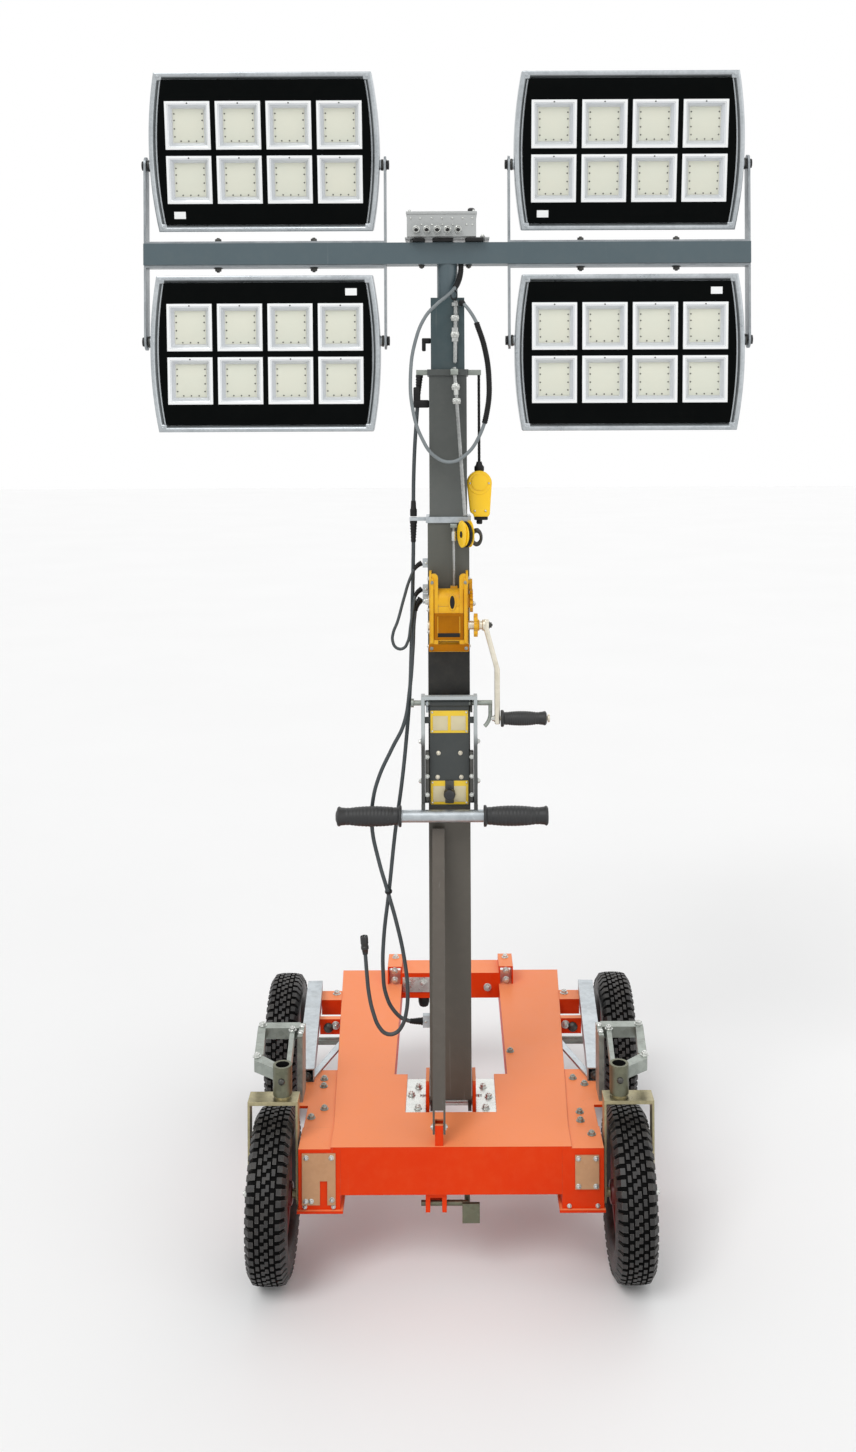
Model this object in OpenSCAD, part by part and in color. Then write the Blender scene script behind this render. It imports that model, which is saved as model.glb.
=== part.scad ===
// Mobile light tower: wheeled base, telescoping winch mast, cross-bar with four floodlights.
// Millimetres, +Z up, +X to the operator's right, -Y to the front, origin on the ground at the middle of
// the base. The mast is down and upright, and the handle hangs in its lock.

/* [Base] */
// Width of the deck across its front edge
deck_front_w = 524; // [460:2:600]
// Width of the deck across its rear edge
deck_rear_w = 616; // [560:2:680]
// Length of the deck from front to rear
deck_len = 956; // [920:2:980]
// Height of the deck's top above the ground
deck_top = 304; // [296:1:320]
// Thickness of the deck's sheet
deck_t = 4; // [3:0.5:6]
// Depth of the deck's folded edges
skirt_h = 60; // [40:1:80]
// How far the deck reaches ahead of the front axle
front_overhang = 53; // [40:1:60]
// Height of the front beam
beam_h = 104; // [90:1:120]
// Depth of the front beam from front to back
beam_d = 92; // [70:1:110]
// Half width of the wide part of the slot
slot_half = 136; // [125:1:150]
// Half width of the slot beside the mast's foot
foot_slot_half = 104; // [95:1:115]
// Width of each front corner box
corner_w = 91; // [80:1:100]
// Height of each front corner box
corner_h = 137; // [125:1:150]
// Height of the rear beam
rear_beam_h = 70; // [60:1:80]
// Depth of the rear beam from front to back
rear_beam_d = 92; // [80:1:110]
// How far the rear beam's top stands above the deck
rear_beam_rise = 31; // [20:1:40]

/* [Wheels] */
// Outer diameter of the tyres
tyre_d = 350; // [340:1:360]
// Width of the tyres
tyre_w = 90; // [80:1:94]
// Distance between the axles
wheelbase = 740; // [720:2:760]
// Diameter of the rims at their flanges
rim_d = 216; // [200:1:230]
// Diameter of the wheels' axles
axle_d = 20; // [16:1:24]
// Gap between a tyre and what stands beside it
tyre_gap = 5; // [4:0.5:8]
// Thickness of the fork legs
fork_t = 5; // [4:0.5:6]
// Gap between the deck's edge and the rear tyres
rear_wheel_gap = 107; // [95:1:120]

/* [Side gear] */
// Width of the galvanised side bars
bar_w = 40; // [30:1:45]
// Gap between the deck's edge and the side bars
bar_gap = 54; // [44:1:60]
// Section of the tube in the wheel hoops
hoop_t = 26; // [20:1:30]
// Diameter of the steering sleeves
sleeve_d = 42; // [36:1:46]
// Height of the steering sleeves
sleeve_h = 65; // [55:1:75]

/* [Mast] */
// Width of the outer mast tube
outer_w = 96; // [90:1:102]
// Wall of the mast tubes
tube_wall = 3; // [2.5:0.25:4]
// Gap between one mast tube and the next
tube_gap = 1.5; // [1.2:0.1:2]
// How far the mast's axis stands behind the deck's front edge
mast_setback = 229; // [215:1:240]
// Height of the foot pin above the ground
pin_z = 290; // [285:1:300]
// Diameter of the foot pin
foot_pin_d = 20; // [16:1:24]
// Height of the outer tube's top
outer_top = 1660; // [1600:5:1720]
// How far the middle tube stands out of the outer tube when down
mid_rise = 340; // [300:5:380]
// How far the top tube stands out of the middle tube when down
top_rise = 160; // [140:5:200]
// Travel of each sliding tube
travel = 1150; // [1000:10:1200]
// Diameter of the round pole
pole_d = 48; // [42:1:54]
// Height of the cross-bar's underside
t_bar_z = 2246; // [2220:2:2280]

/* [Head] */
// Length of the cross-bar
t_bar_len = 1412; // [1400:2:1440]
// Section of the cross-bar
t_bar_w = 50; // [44:1:56]
// Width of a floodlight between its corners
light_w = 500; // [480:2:506]
// Height of a floodlight
light_h = 364; // [340:2:370]
// How far a floodlight's sides bulge
light_bulge = 17; // [8:1:18]
// Depth of a floodlight's tray
tray_d = 52; // [44:1:56]
// Tilt of the upper floodlights
upper_tilt = 10; // [0:1:20]
// Tilt of the lower floodlights
lower_tilt = 4; // [0:1:20]
// Width of a module's frame
module_w = 105; // [95:1:108]
// Height of a module's frame
module_h = 110; // [100:1:114]

/* [Winch and handle] */
// Drop from the outer tube's mouth to the winch's shaft
winch_drop = 243; // [225:1:290]
// Width of the winch between its side plates
winch_w = 78; // [70:1:84]
// Throw of the crank
crank_throw = 212; // [180:1:214]
// Length of the crank's grip
crank_grip_len = 104; // [80:1:130]
// Drop from the winch's shaft to the handle's pivot
handle_drop = 181; // [170:1:200]
// Length of the handle plate
handle_plate_h = 247; // [225:1:255]
// Length of the push handle
handle_len = 472; // [420:2:520]
// Diameter of the push handle's tube
handle_d = 28; // [24:1:32]
// Length of each rubber grip
grip_len = 145; // [110:1:160]
// Width of the stay in front of the mast
stay_w = 28; // [22:1:32]

/* [Hidden] */
$fn = 48;

orange = "#f06a38";
zinc = "#c9c3ae";
steel = "#b6bcbf";
grey = "#5b6564";
black = "#1c1d1f";
yellow = "#e8a018";

run = 0.05;         // radial clearance of a shaft that turns in its bore
seat = 0.3;         // gap between a sliding piece and what guides it

// Base: places worked out from the driving sizes
axle_z = tyre_d / 2;
front_axle_y = -wheelbase / 2;
rear_axle_y = wheelbase / 2;
deck_y0 = front_axle_y - front_overhang;
deck_y1 = deck_y0 + deck_len;
beam_y1 = deck_y0 + beam_d;
front_half = deck_front_w / 2;
rear_half = deck_rear_w / 2;
function deck_half(y) = front_half + (rear_half - front_half) * (y - beam_y1) / (deck_y1 - beam_y1);
under = deck_top - deck_t;
mast_y = deck_y0 + mast_setback;
corner_x0 = front_half - 21;
corner_x1 = corner_x0 + corner_w;
corner_flange_t = 6;
rear_beam_y0 = deck_y1 - rear_beam_d - 6;
rear_beam_top = deck_top + rear_beam_rise;
fork_gap = tyre_w / 2 + tyre_gap;
front_wheel_x = corner_x1 + 4 + fork_t + fork_gap;
rear_wheel_x = deck_half(rear_axle_y) + rear_wheel_gap + tyre_w / 2;
ear_t = 8;
ear_x = outer_w / 2 + 2;
slot_y0 = mast_y + 101;
foot_slot_y0 = mast_y - 80;

// Side gear
plate_t = 6;
plate_y0 = beam_y1;
plate_y1 = mast_y + 132;
plate_x = corner_x1 - 2;
plate_wide_y = mast_y - 41;
upright_x1 = corner_x1 + 24;
upright_x0 = upright_x1 - 12;
crown_t = 8;
crown_z = tyre_d + 30;
sleeve_z = crown_z + crown_t + 6;
sleeve_x = front_wheel_x - 19;
sleeve_y = front_axle_y + 2;
hoop_z1 = sleeve_z + sleeve_h - 6;
hoop_z0 = hoop_z1 - hoop_t;
upright_y = mast_y + 10;
bar_y0 = mast_y + 77;
bar_y1 = deck_y1 - 134;
bar_z = under - 10;
catch_y = deck_y0 + 24;
catch_z = under - beam_h - 27;

// Mast
mast_front = mast_y - outer_w / 2;
tube_foot = pin_z + 26;
mid_w = outer_w - 2 * tube_wall - 2 * tube_gap;
top_w = mid_w - 2 * tube_wall - 2 * tube_gap;
mid_top = outer_top + mid_rise;
top_top = mid_top + top_rise;
overlap = 186;
mid_foot = mid_top - mid_rise - travel - overlap;
top_foot = top_top - top_rise - travel - overlap;
pad_h = 40;
collar_h = 14;
collar_t = 4;
rope_d = 5;
rope_x = 12;
rope_y = mast_front - 20;

// Head
pivot_rise = 177;
upper_rise = pivot_rise + 8;
light_pivot_off = 29;
t_bar_top = t_bar_z + t_bar_w;
light_x = t_bar_len / 2 - light_w / 2 - light_bulge - 15;
upper_pivot_z = t_bar_top + upper_rise;
lower_pivot_z = t_bar_z - pivot_rise;
bracket_w = 40;
bracket_t = 5;
bracket_half = light_w / 2 + light_bulge + 10;
light_pin_d = 12;
fin_d = 40;

// Winch and handle
winch_z = outer_top - winch_drop;
winch_y = mast_front - 48;
winch_plate_t = 5;
winch_low = winch_z - 58;
winch_high = winch_z + 124;
drum_z = winch_z + 54;
shaft_d = 16;
crank_x = winch_w / 2 + winch_plate_t + 42;
handle_pin_z = winch_z - handle_drop;
handle_half = outer_w / 2 + 16;
handle_plate_t = 5;
handle_y = mast_front - 22;
handle_pin_d = 12;
handle_pin_y = mast_front - 24;
handle_z = handle_pin_z + 11 - handle_plate_h - handle_d / 2;
handle_bar_y = handle_y - handle_plate_t - handle_d / 2 - 14;
strap_t = 8;
handle_shift = -16;
stay_x = -26;
stay_foot_y = deck_y0 + 18;
stay_foot_z = deck_top + 34;
stay_top_z = handle_z - handle_d / 2 - 30;
stay_top_y = mast_front - stay_w / 2;

// Simple shapes
module block(x, y, z) {
    translate([x[0], y[0], z[0]]) cube([x[1] - x[0], y[1] - y[0], z[1] - z[0]]);
}

module rod_x(x, y, z, d) {
    translate([x[0], y, z]) rotate([0, 90, 0]) cylinder(d = d, h = x[1] - x[0]);
}

module rod_y(x, y, z, d) {
    translate([x, y[0], z]) rotate([-90, 0, 0]) cylinder(d = d, h = y[1] - y[0]);
}

module rod_z(x, y, z, d) {
    translate([x, y, z[0]]) cylinder(d = d, h = z[1] - z[0]);
}

module both_sides() {
    children();
    mirror([1, 0, 0]) children();
}

// Upright square tube round the mast's axis
module mast_tube(w, wall, z) {
    difference() {
        block([-w / 2, w / 2], [mast_y - w / 2, mast_y + w / 2], z);
        block([-w / 2 + wall, w / 2 - wall], [mast_y - w / 2 + wall, mast_y + w / 2 - wall],
              [z[0] - 1, z[1] + 1]);
    }
}

// Folded sheet: plate with a skirt turned down round its edge, open below
module folded_sheet(top, depth, sheet) {
    difference() {
        translate([0, 0, top - depth]) linear_extrude(depth) children(0);
        translate([0, 0, top - depth - 1]) linear_extrude(depth + 1 - sheet) children(1);
    }
}

// Outline of one half of the deck, inset by the given margin
module deck_half_outline(m) {
    polygon([
        [slot_half + m, slot_y0],
        [slot_half + m, rear_beam_y0 - m],
        [slot_half + m, deck_y1 - m],
        [deck_half(deck_y1) - m, deck_y1 - m],
        [deck_half(beam_y1) - m, beam_y1 + m],
        [foot_slot_half + m, beam_y1 + m],
        [foot_slot_half + m, slot_y0 - m],
        [slot_half + m, slot_y0 - m]]);
}

// Base
module deck() {
    color(orange) {
        both_sides() folded_sheet(deck_top, skirt_h, deck_t) {
            deck_half_outline(0);
            deck_half_outline(deck_t);
        }
        difference() {
            block([-corner_x0, corner_x0], [deck_y0, beam_y1], [under - beam_h + deck_t, deck_top]);
            block([-corner_x0 - 1, corner_x0 + 1], [deck_y0 + deck_t, beam_y1 - deck_t],
                  [under - beam_h + 2 * deck_t, under]);
        }
        difference() {
            block([-foot_slot_half, foot_slot_half], [beam_y1, foot_slot_y0], [deck_top - skirt_h, deck_top]);
            block([-foot_slot_half - 1, foot_slot_half + 1], [beam_y1 - 1, foot_slot_y0 - deck_t],
                  [deck_top - skirt_h - 1, under]);
        }
        both_sides() block([corner_x0, front_half], [deck_y0, beam_y1], [under, deck_top]);
    }
}

module rear_beam() {
    tab_w = 40;
    color(orange) {
        difference() {
            block([-slot_half, slot_half], [rear_beam_y0, rear_beam_y0 + rear_beam_d],
                  [rear_beam_top - rear_beam_h, rear_beam_top]);
            block([-slot_half + deck_t, slot_half - deck_t],
                  [rear_beam_y0 + deck_t, rear_beam_y0 + rear_beam_d - deck_t],
                  [rear_beam_top - rear_beam_h - 1, rear_beam_top - deck_t]);
        }
        both_sides() difference() {
            block([slot_half, slot_half + tab_w], [rear_beam_y0, rear_beam_y0 + rear_beam_d],
                  [deck_top, rear_beam_top + 18]);
            block([slot_half + deck_t, slot_half + tab_w - deck_t],
                  [rear_beam_y0 - 1, rear_beam_y0 + rear_beam_d + 1],
                  [deck_top - 1, rear_beam_top + 18 - deck_t]);
        }
    }
}

module corner_boxes() {
    flange_over = 6;
    box_z = under - corner_h + corner_flange_t;
    color(orange) both_sides() {
        difference() {
            block([corner_x0, corner_x1], [deck_y0, beam_y1], [box_z, under]);
            block([corner_x0 + deck_t, corner_x1 - deck_t], [deck_y0 + deck_t, beam_y1 - deck_t],
                  [box_z - 1, under - deck_t]);
        }
        difference() {
            block([corner_x0 - flange_over, corner_x1 + 3], [deck_y0 - flange_over, beam_y1],
                  [box_z - corner_flange_t, box_z]);
            block([corner_x0 + 20, corner_x1 - 20], [deck_y0 + 20, beam_y1 - 20],
                  [box_z - corner_flange_t - 1, box_z + 1]);
        }
    }
}

module zinc_plates() {
    corner_plate = 3;
    plate_z = under - 8;
    color(zinc) {
        mirror([1, 0, 0]) difference() {
            block([corner_x0 + 10, corner_x1 - 8], [deck_y0 - corner_plate, deck_y0],
                  [plate_z - 112, plate_z]);
            block([corner_x0 + 28, corner_x0 + 44], [deck_y0 - corner_plate - 1, deck_y0 + 1],
                  [plate_z - 113, plate_z - 60]);
        }
        block([corner_x0 + 28, corner_x1 - 11], [deck_y0 - corner_plate, deck_y0],
              [plate_z - 80, plate_z - 6]);
        both_sides() difference() {
            block([ear_x + ear_t, foot_slot_half], [foot_slot_y0, slot_y0 - 20],
                  [deck_top - 8, deck_top - 2]);
            rod_x([ear_x, ear_x + ear_t + 14], mast_y, pin_z, foot_pin_d + 6);
        }
    }
}

module cross_tubes() {
    front_tube_d = 34;
    rear_tube = 50;
    hanger_t = 8;
    rear_x = deck_half(rear_axle_y);
    color(steel) {
        rod_x([-corner_x0, corner_x0], beam_y1 - 30,
              under - corner_h + corner_flange_t + front_tube_d / 2 - 1, front_tube_d - 4);
        both_sides() {
            block([slot_half + 60, rear_x], [rear_axle_y - rear_tube / 2, rear_axle_y + rear_tube / 2],
                  [axle_z - rear_tube / 2, axle_z + rear_tube / 2]);
            for (x = [slot_half + 60, rear_x - 34])
                block([x, x + hanger_t], [rear_axle_y - 45, rear_axle_y + 45], [axle_z, under]);
            rod_x([rear_x - 1, rear_wheel_x + tyre_w / 2 - 2], rear_axle_y, axle_z, axle_d);
        }
    }
}

module side_plates() {
    step_y = bar_y0 - 4;
    color(orange) both_sides() {
        translate([0, 0, under - plate_t]) linear_extrude(plate_t) polygon([
            [deck_half(plate_y0), plate_y0],
            [plate_x, plate_y0],
            [plate_x, plate_wide_y],
            [upright_x1, plate_wide_y],
            [upright_x1, step_y],
            [deck_half(step_y) + bar_gap, step_y],
            [deck_half(plate_y1) + bar_gap, plate_y1],
            [deck_half(plate_y1), plate_y1]]);
        difference() {
            block([upright_x0, upright_x1], [upright_y - 35, upright_y + 35], [under, hoop_z1]);
            block([upright_x0 + 4, upright_x1 - 4], [upright_y - 31, upright_y + 31],
                  [under - 1, hoop_z1 - 4]);
        }
    }
}

module side_bars() {
    slope = atan((rear_half - front_half) / (deck_y1 - beam_y1));
    bar_len = bar_y1 - bar_y0;
    gusset_y = bar_y0 + 8;
    color(steel) both_sides() {
        translate([deck_half(bar_y0) + bar_gap, bar_y0, bar_z]) rotate([0, 0, -slope]) difference() {
            cube([bar_w, bar_len, bar_w]);
            translate([3, -1, 3]) cube([bar_w - 6, bar_len + 2, bar_w - 6]);
        }
        translate([0, 0, under]) linear_extrude(6) polygon([
            [deck_half(gusset_y + 190), gusset_y + 190],
            [deck_half(gusset_y + 144), gusset_y + 144],
            [deck_half(gusset_y) + bar_gap, gusset_y],
            [deck_half(gusset_y + 42) + bar_gap, gusset_y + 42]]);
    }
}

// Lug between the deck's skirt and a side bar
module bar_lug(y, half) {
    translate([0, 0, under - 34]) linear_extrude(40) polygon([
        [deck_half(y - half), y - half],
        [deck_half(y - half) + bar_gap, y - half],
        [deck_half(y + half) + bar_gap, y + half],
        [deck_half(y + half), y + half]]);
}

module frame_lugs() {
    lug_t = 18;
    notch = foot_pin_d / 2 + 0.5;
    color(orange) {
        both_sides() {
            bar_lug(mast_y + 411, 9);
            bar_lug(deck_y1 - 176, 30);
            difference() {
                union() {
                    block([ear_x, ear_x + ear_t], [mast_y - 40, mast_y + 40], [pin_z - 26, pin_z + 40]);
                    rod_x([ear_x, ear_x + ear_t], mast_y, pin_z + 40, 80);
                }
                block([ear_x - 1, ear_x + ear_t + 1], [mast_y - 60, mast_y + 60], [pin_z + 62, pin_z + 100]);
                rod_x([ear_x - 1, ear_x + ear_t + 1], mast_y, pin_z, foot_pin_d);
            }
        }
        difference() {
            block([stay_x - lug_t / 2, stay_x + lug_t / 2], [stay_foot_y - 14, stay_foot_y + 14],
                  [deck_top, stay_foot_z + 10]);
            rod_x([stay_x - lug_t, stay_x + lug_t], stay_foot_y, stay_foot_z, 11);
            block([stay_x - lug_t, stay_x + lug_t], [stay_foot_y - 5.5, stay_foot_y + 8.5],
                  [stay_foot_z, stay_foot_z + 20]);
        }
        difference() {
            block([stay_x - 30, stay_x + 16], [catch_y - 14, catch_y + 20],
                  [under - beam_h - 40, under - beam_h + deck_t]);
            block([stay_x - 20, stay_x + 6], [catch_y - 15, catch_y + 14],
                  [under - beam_h - 41, under - beam_h - 8]);
            rod_x([stay_x - 31, stay_x + 17], catch_y, catch_z, 12);
        }
    }
}

module foot_pin() {
    color(steel) {
        rod_x([-ear_x - ear_t - 6, ear_x + ear_t + 6], mast_y, pin_z, foot_pin_d);
    }
}

module catch() {
    color(zinc) {
        rod_x([stay_x - 40, stay_x + 66], catch_y, catch_z, 12);
        block([stay_x + 50, stay_x + 88], [catch_y - 12, catch_y - 4], [catch_z - 38, catch_z + 4]);
        rod_z(stay_x + 61, catch_y + 16, [catch_z - 8, under - beam_h + deck_t], 12);
    }
}

// Wheel hoop with its steering sleeve, right side
module wheel_hoop() {
    hoop_x1 = front_wheel_x + 63;
    hoop_y1 = upright_y + 40;
    hoop_y0 = hoop_y1 - 30;
    arm_y = sleeve_y + 43;
    difference() {
        union() {
            block([upright_x1, hoop_x1], [hoop_y0, hoop_y1], [hoop_z0, hoop_z1]);
            translate([0, 0, hoop_z0]) linear_extrude(hoop_t) {
                polygon([
                    [hoop_x1, hoop_y0 + 1],
                    [hoop_x1 - 18, hoop_y0 + 1],
                    [hoop_x1 - 31, arm_y + 18],
                    [hoop_x1 - 13, arm_y]]);
                polygon([
                    [hoop_x1 - 13, arm_y],
                    [hoop_x1 - 15, arm_y - 11],
                    [sleeve_x + 12, sleeve_y - 11],
                    [sleeve_x, sleeve_y],
                    [sleeve_x + 12, sleeve_y + 16],
                    [hoop_x1 - 23, arm_y + 19]]);
                polygon([
                    [upright_x1 + 22, hoop_y0 + 1],
                    [upright_x1 + 10, hoop_y0 + 1],
                    [upright_x1, sleeve_y + 24],
                    [upright_x1, sleeve_y],
                    [upright_x1 + 10, sleeve_y + 20]]);
            }
            block([upright_x1, sleeve_x], [sleeve_y - 12, sleeve_y + 12], [hoop_z0, hoop_z1]);
            rod_z(sleeve_x, sleeve_y, [sleeve_z, sleeve_z + sleeve_h], sleeve_d);
        }
        rod_z(sleeve_x, sleeve_y, [sleeve_z + 30, sleeve_z + sleeve_h + 1], sleeve_d - 12);
    }
}

module wheel_hoops() {
    color(steel) both_sides() wheel_hoop();
}

// Fork with its crown, stem and axle, right side
module fork() {
    leg_x = front_wheel_x + fork_gap;
    crown_x = fork_gap + fork_t;
    color(zinc) {
        block([front_wheel_x - crown_x, front_wheel_x + crown_x], [sleeve_y - 26, sleeve_y + 22],
              [crown_z, crown_z + crown_t]);
        rod_z(sleeve_x, sleeve_y, [crown_z + crown_t, sleeve_z], sleeve_d - 8);
        for (x = [front_wheel_x - crown_x, leg_x]) {
            block([x, x + fork_t], [sleeve_y - 26, sleeve_y + 10], [axle_z, crown_z]);
            rod_x([x, x + fork_t], front_axle_y, axle_z, 44);
        }
        rod_x([front_wheel_x - crown_x, leg_x + fork_t + 6], front_axle_y, axle_z, axle_d);
    }
}

module fork_left() {
    mirror([1, 0, 0]) fork();
}

module fork_right() {
    fork();
}

// Wheels
module tyre(x, y) {
    r = tyre_d / 2;
    rim_r = rim_d / 2;
    w = tyre_w / 2;
    translate([x, y, axle_z]) rotate([0, 90, 0]) color(black) rotate_extrude($fn = 96) difference() {
        polygon([
            [rim_r - 6, -w + 22],
            [rim_r + 8, -w + 4],
            [rim_r + 26, -w],
            [r - 22, -w + 2],
            [r - 8, -w + 12],
            [r, -w + 26],
            [r, w - 26],
            [r - 8, w - 12],
            [r - 22, w - 2],
            [rim_r + 26, w],
            [rim_r + 8, w - 4],
            [rim_r - 6, w - 22]]);
        for (s = [-1, 1]) translate([r - 5, s * 9 - 2]) square([6, 4]);
    }
}

module rim(x, y) {
    rim_r = rim_d / 2;
    w = tyre_w / 2;
    hub_r = axle_d / 2 + 16;
    bore_r = axle_d / 2 + run;
    translate([x, y, axle_z]) rotate([0, 90, 0]) color("#7a2320") rotate_extrude($fn = 96) polygon([
        [bore_r, -w + 4],
        [hub_r, -w + 4],
        [hub_r, -14],
        [rim_r - 40, -6],
        [rim_r - 14, -w + 18],
        [rim_r - 8, -w + 21],
        [rim_r - 6, -w + 22],
        [rim_r - 6, w - 22],
        [rim_r - 8, w - 21],
        [rim_r - 14, w - 18],
        [rim_r - 40, 6],
        [hub_r, 14],
        [hub_r, w - 4],
        [bore_r, w - 4]]);
}

module tyre_front_left() { tyre(-front_wheel_x, front_axle_y); }
module tyre_front_right() { tyre(front_wheel_x, front_axle_y); }
module tyre_rear_left() { tyre(-rear_wheel_x, rear_axle_y); }
module tyre_rear_right() { tyre(rear_wheel_x, rear_axle_y); }
module rim_front_left() { rim(-front_wheel_x, front_axle_y); }
module rim_front_right() { rim(front_wheel_x, front_axle_y); }
module rim_rear_left() { rim(-rear_wheel_x, rear_axle_y); }
module rim_rear_right() { rim(rear_wheel_x, rear_axle_y); }

// Slide pads and stop collar at the mouth of a mast tube
module tube_mouth(w, wall, z) {
    inner = w / 2 - wall;
    pad = tube_gap - seat;
    for (a = [0, 90, 180, 270]) translate([0, mast_y, 0]) rotate([0, 0, a])
        block([-18, 18], [inner - pad, inner], [z - pad_h, z]);
    difference() {
        block([-w / 2 - collar_t, w / 2 + collar_t], [mast_y - w / 2 - collar_t, mast_y + w / 2 + collar_t],
              [z - collar_h, z]);
        block([-w / 2, w / 2], [mast_y - w / 2, mast_y + w / 2], [z - collar_h - 1, z + 1]);
    }
}

module outer_tube() {
    cheek_r = 22;
    color(grey) {
        mast_tube(outer_w, tube_wall, [tube_foot, outer_top]);
        tube_mouth(outer_w, tube_wall, outer_top);
        both_sides() difference() {
            union() {
                block([outer_w / 2 - 8, outer_w / 2], [mast_y - cheek_r, mast_y + cheek_r],
                      [pin_z, tube_foot]);
                rod_x([outer_w / 2 - 8, outer_w / 2], mast_y, pin_z, 2 * cheek_r);
            }
            rod_x([0, outer_w], mast_y, pin_z, foot_pin_d + 2 * run);
        }
        both_sides() difference() {
            union() {
                block([outer_w / 2, outer_w / 2 + 5], [handle_pin_y, mast_front + 40],
                      [handle_pin_z - 22, handle_pin_z - 4]);
                rod_x([outer_w / 2, outer_w / 2 + 5], handle_pin_y, handle_pin_z, handle_pin_d + 6);
            }
            rod_x([outer_w / 2 - 1, outer_w / 2 + 6], handle_pin_y, handle_pin_z, handle_pin_d);
        }
        block([-outer_w / 2 - 16, -outer_w / 2], [mast_front + 10, mast_front + 24],
              [tube_foot + 162, tube_foot + 190]);
        for (drop = [107, 167, 190])
            block([-outer_w / 2 - 12, -outer_w / 2], [mast_front + 2, mast_front + 20],
                  [outer_top - drop - 10, outer_top - drop + 10]);
        block([-outer_w / 2 - 42, -outer_w / 2], [mast_front + 16, mast_front + 34],
              [outer_top - 10, outer_top - 2]);
    }
}

// Ratchet wheel with sloping teeth
module ratchet(r, teeth) {
    polygon([for (i = [0 : teeth - 1]) for (k = [0, 1])
        let (a = (i + (k == 0 ? 0 : 0.85)) * 360 / teeth, q = k == 0 ? r - 7 : r)
        [q * cos(a), q * sin(a)]]);
}

// Side plate of the winch, drawn in the YZ plane from the mast's front
module winch_cheek(x) {
    reach = 62;
    round_r = 24;
    translate([x, 0, 0]) difference() {
        union() {
            block([0, winch_plate_t], [mast_front - reach, mast_front], [winch_low, winch_high - round_r - 26]);
            block([0, winch_plate_t], [mast_front - reach + 18, mast_front],
                  [winch_high - round_r - 27, winch_high - round_r]);
            rod_x([0, winch_plate_t], mast_front - round_r - 20, winch_high - round_r, 2 * round_r);
            block([0, winch_plate_t], [mast_front - round_r - 20, mast_front],
                  [winch_high - round_r, winch_high - 4]);
            rod_x([0, winch_plate_t], mast_front - reach + 24, winch_high - round_r - 26, 48);
        }
        rod_x([-1, winch_plate_t + 1], winch_y, winch_z, shaft_d + 2 * run);
    }
}

module winch() {
    w = winch_w / 2;
    drum_y = mast_front - 34;
    cover_t = 3;
    post_x = w - 15;
    ratchet_x = w + winch_plate_t;
    color(yellow) {
        winch_cheek(w);
        winch_cheek(-w - winch_plate_t);
        // bottom flange, hump over the gears and the drum
        block([-w, w], [mast_front - 62, mast_front], [winch_low, winch_low + 8]);
        block([-w, w], [mast_front - 52, mast_front - 52 + cover_t], [winch_low + 8, winch_low + 22]);
        rod_x([-w, w], drum_y, drum_z, 56);
        block([rope_x - 8, rope_x + 8], [rope_y - 8, rope_y + 8], [drum_z + 8, drum_z + 32]);
        block([-w, w], [mast_front - 24, mast_front - 24 + cover_t], [winch_z + 14, drum_z - 10]);
        block([-w, w], [mast_front - 61, mast_front - 61 + cover_t], [winch_low + 24, drum_z - 10]);
        // folded front edges of the side plates, with rounded tops
        both_sides() difference() {
            union() {
                block([post_x, w + winch_plate_t], [mast_front - 62, mast_front - 48],
                      [winch_low, winch_high - 16]);
                rod_y((post_x + w + winch_plate_t) / 2, [mast_front - 62, mast_front - 48], winch_high - 16,
                      w + winch_plate_t - post_x);
            }
            rod_x([0, w + winch_plate_t + 1], winch_y, winch_z, shaft_d + 2 * run);
        }
        // ratchet wheel, its hub and its pawl
        rod_x([ratchet_x, ratchet_x + 4], drum_y, drum_z, 32);
        translate([ratchet_x + 4, drum_y, drum_z]) rotate([0, 90, 0]) linear_extrude(7)
            ratchet(26, 14);
        rod_x([ratchet_x, ratchet_x + 10], drum_y + 18, drum_z + 42, 12);
        block([ratchet_x + 3, ratchet_x + 10], [drum_y + 13, drum_y + 19], [drum_z + 20, drum_z + 44]);
    }
}

module winch_rope() {
    color(steel) {
        rod_z(rope_x, rope_y, [drum_z + 32, outer_top - 24], rope_d);
        block([rope_x - 8, rope_x + 8], [rope_y - 6, mast_front], [outer_top - 24, outer_top - 15]);
    }
}

module sheave() {
    sheave_x = outer_w / 2 - 9;
    sheave_y = mast_front - 34;
    sheave_z = outer_top - 38;
    color(yellow) intersection() {
        block([-outer_w, outer_w], [mast_front - 100, mast_front], [sheave_z - 60, sheave_z + 60]);
        translate([sheave_x, sheave_y, sheave_z]) rotate([0, 0, 28]) {
            rotate([0, 90, 0]) rotate_extrude() polygon([
                [0, -8],
                [28, -8],
                [28, -6],
                [22, 0],
                [28, 6],
                [28, 8],
                [0, 8]]);
            rod_x([-12, 14], 0, 0, 12);
            block([10, 14], [-12, 60], [-12, 12]);
        }
    }
}

module stay() {
    fork_x = stay_w / 2;
    dy = stay_foot_y - stay_top_y;
    dz = stay_top_z - stay_foot_z;
    lean = atan(-dy / dz);
    run_len = sqrt(dy * dy + dz * dz);
    color(grey) {
        difference() {
            translate([stay_x, stay_foot_y, stay_foot_z]) rotate([-lean, 0, 0]) difference() {
                block([-stay_w / 2, stay_w / 2], [-stay_w / 2, stay_w / 2], [-12, run_len + 4]);
                block([-9.5, 9.5], [-stay_w, stay_w], [-13, 36]);
            }
            block([stay_x - stay_w, stay_x + stay_w], [mast_front, mast_y], [stay_top_z - 90, stay_top_z + 90]);
        }
        rod_x([stay_x - fork_x, stay_x + fork_x], stay_foot_y, stay_foot_z, 10);
    }
}

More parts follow.
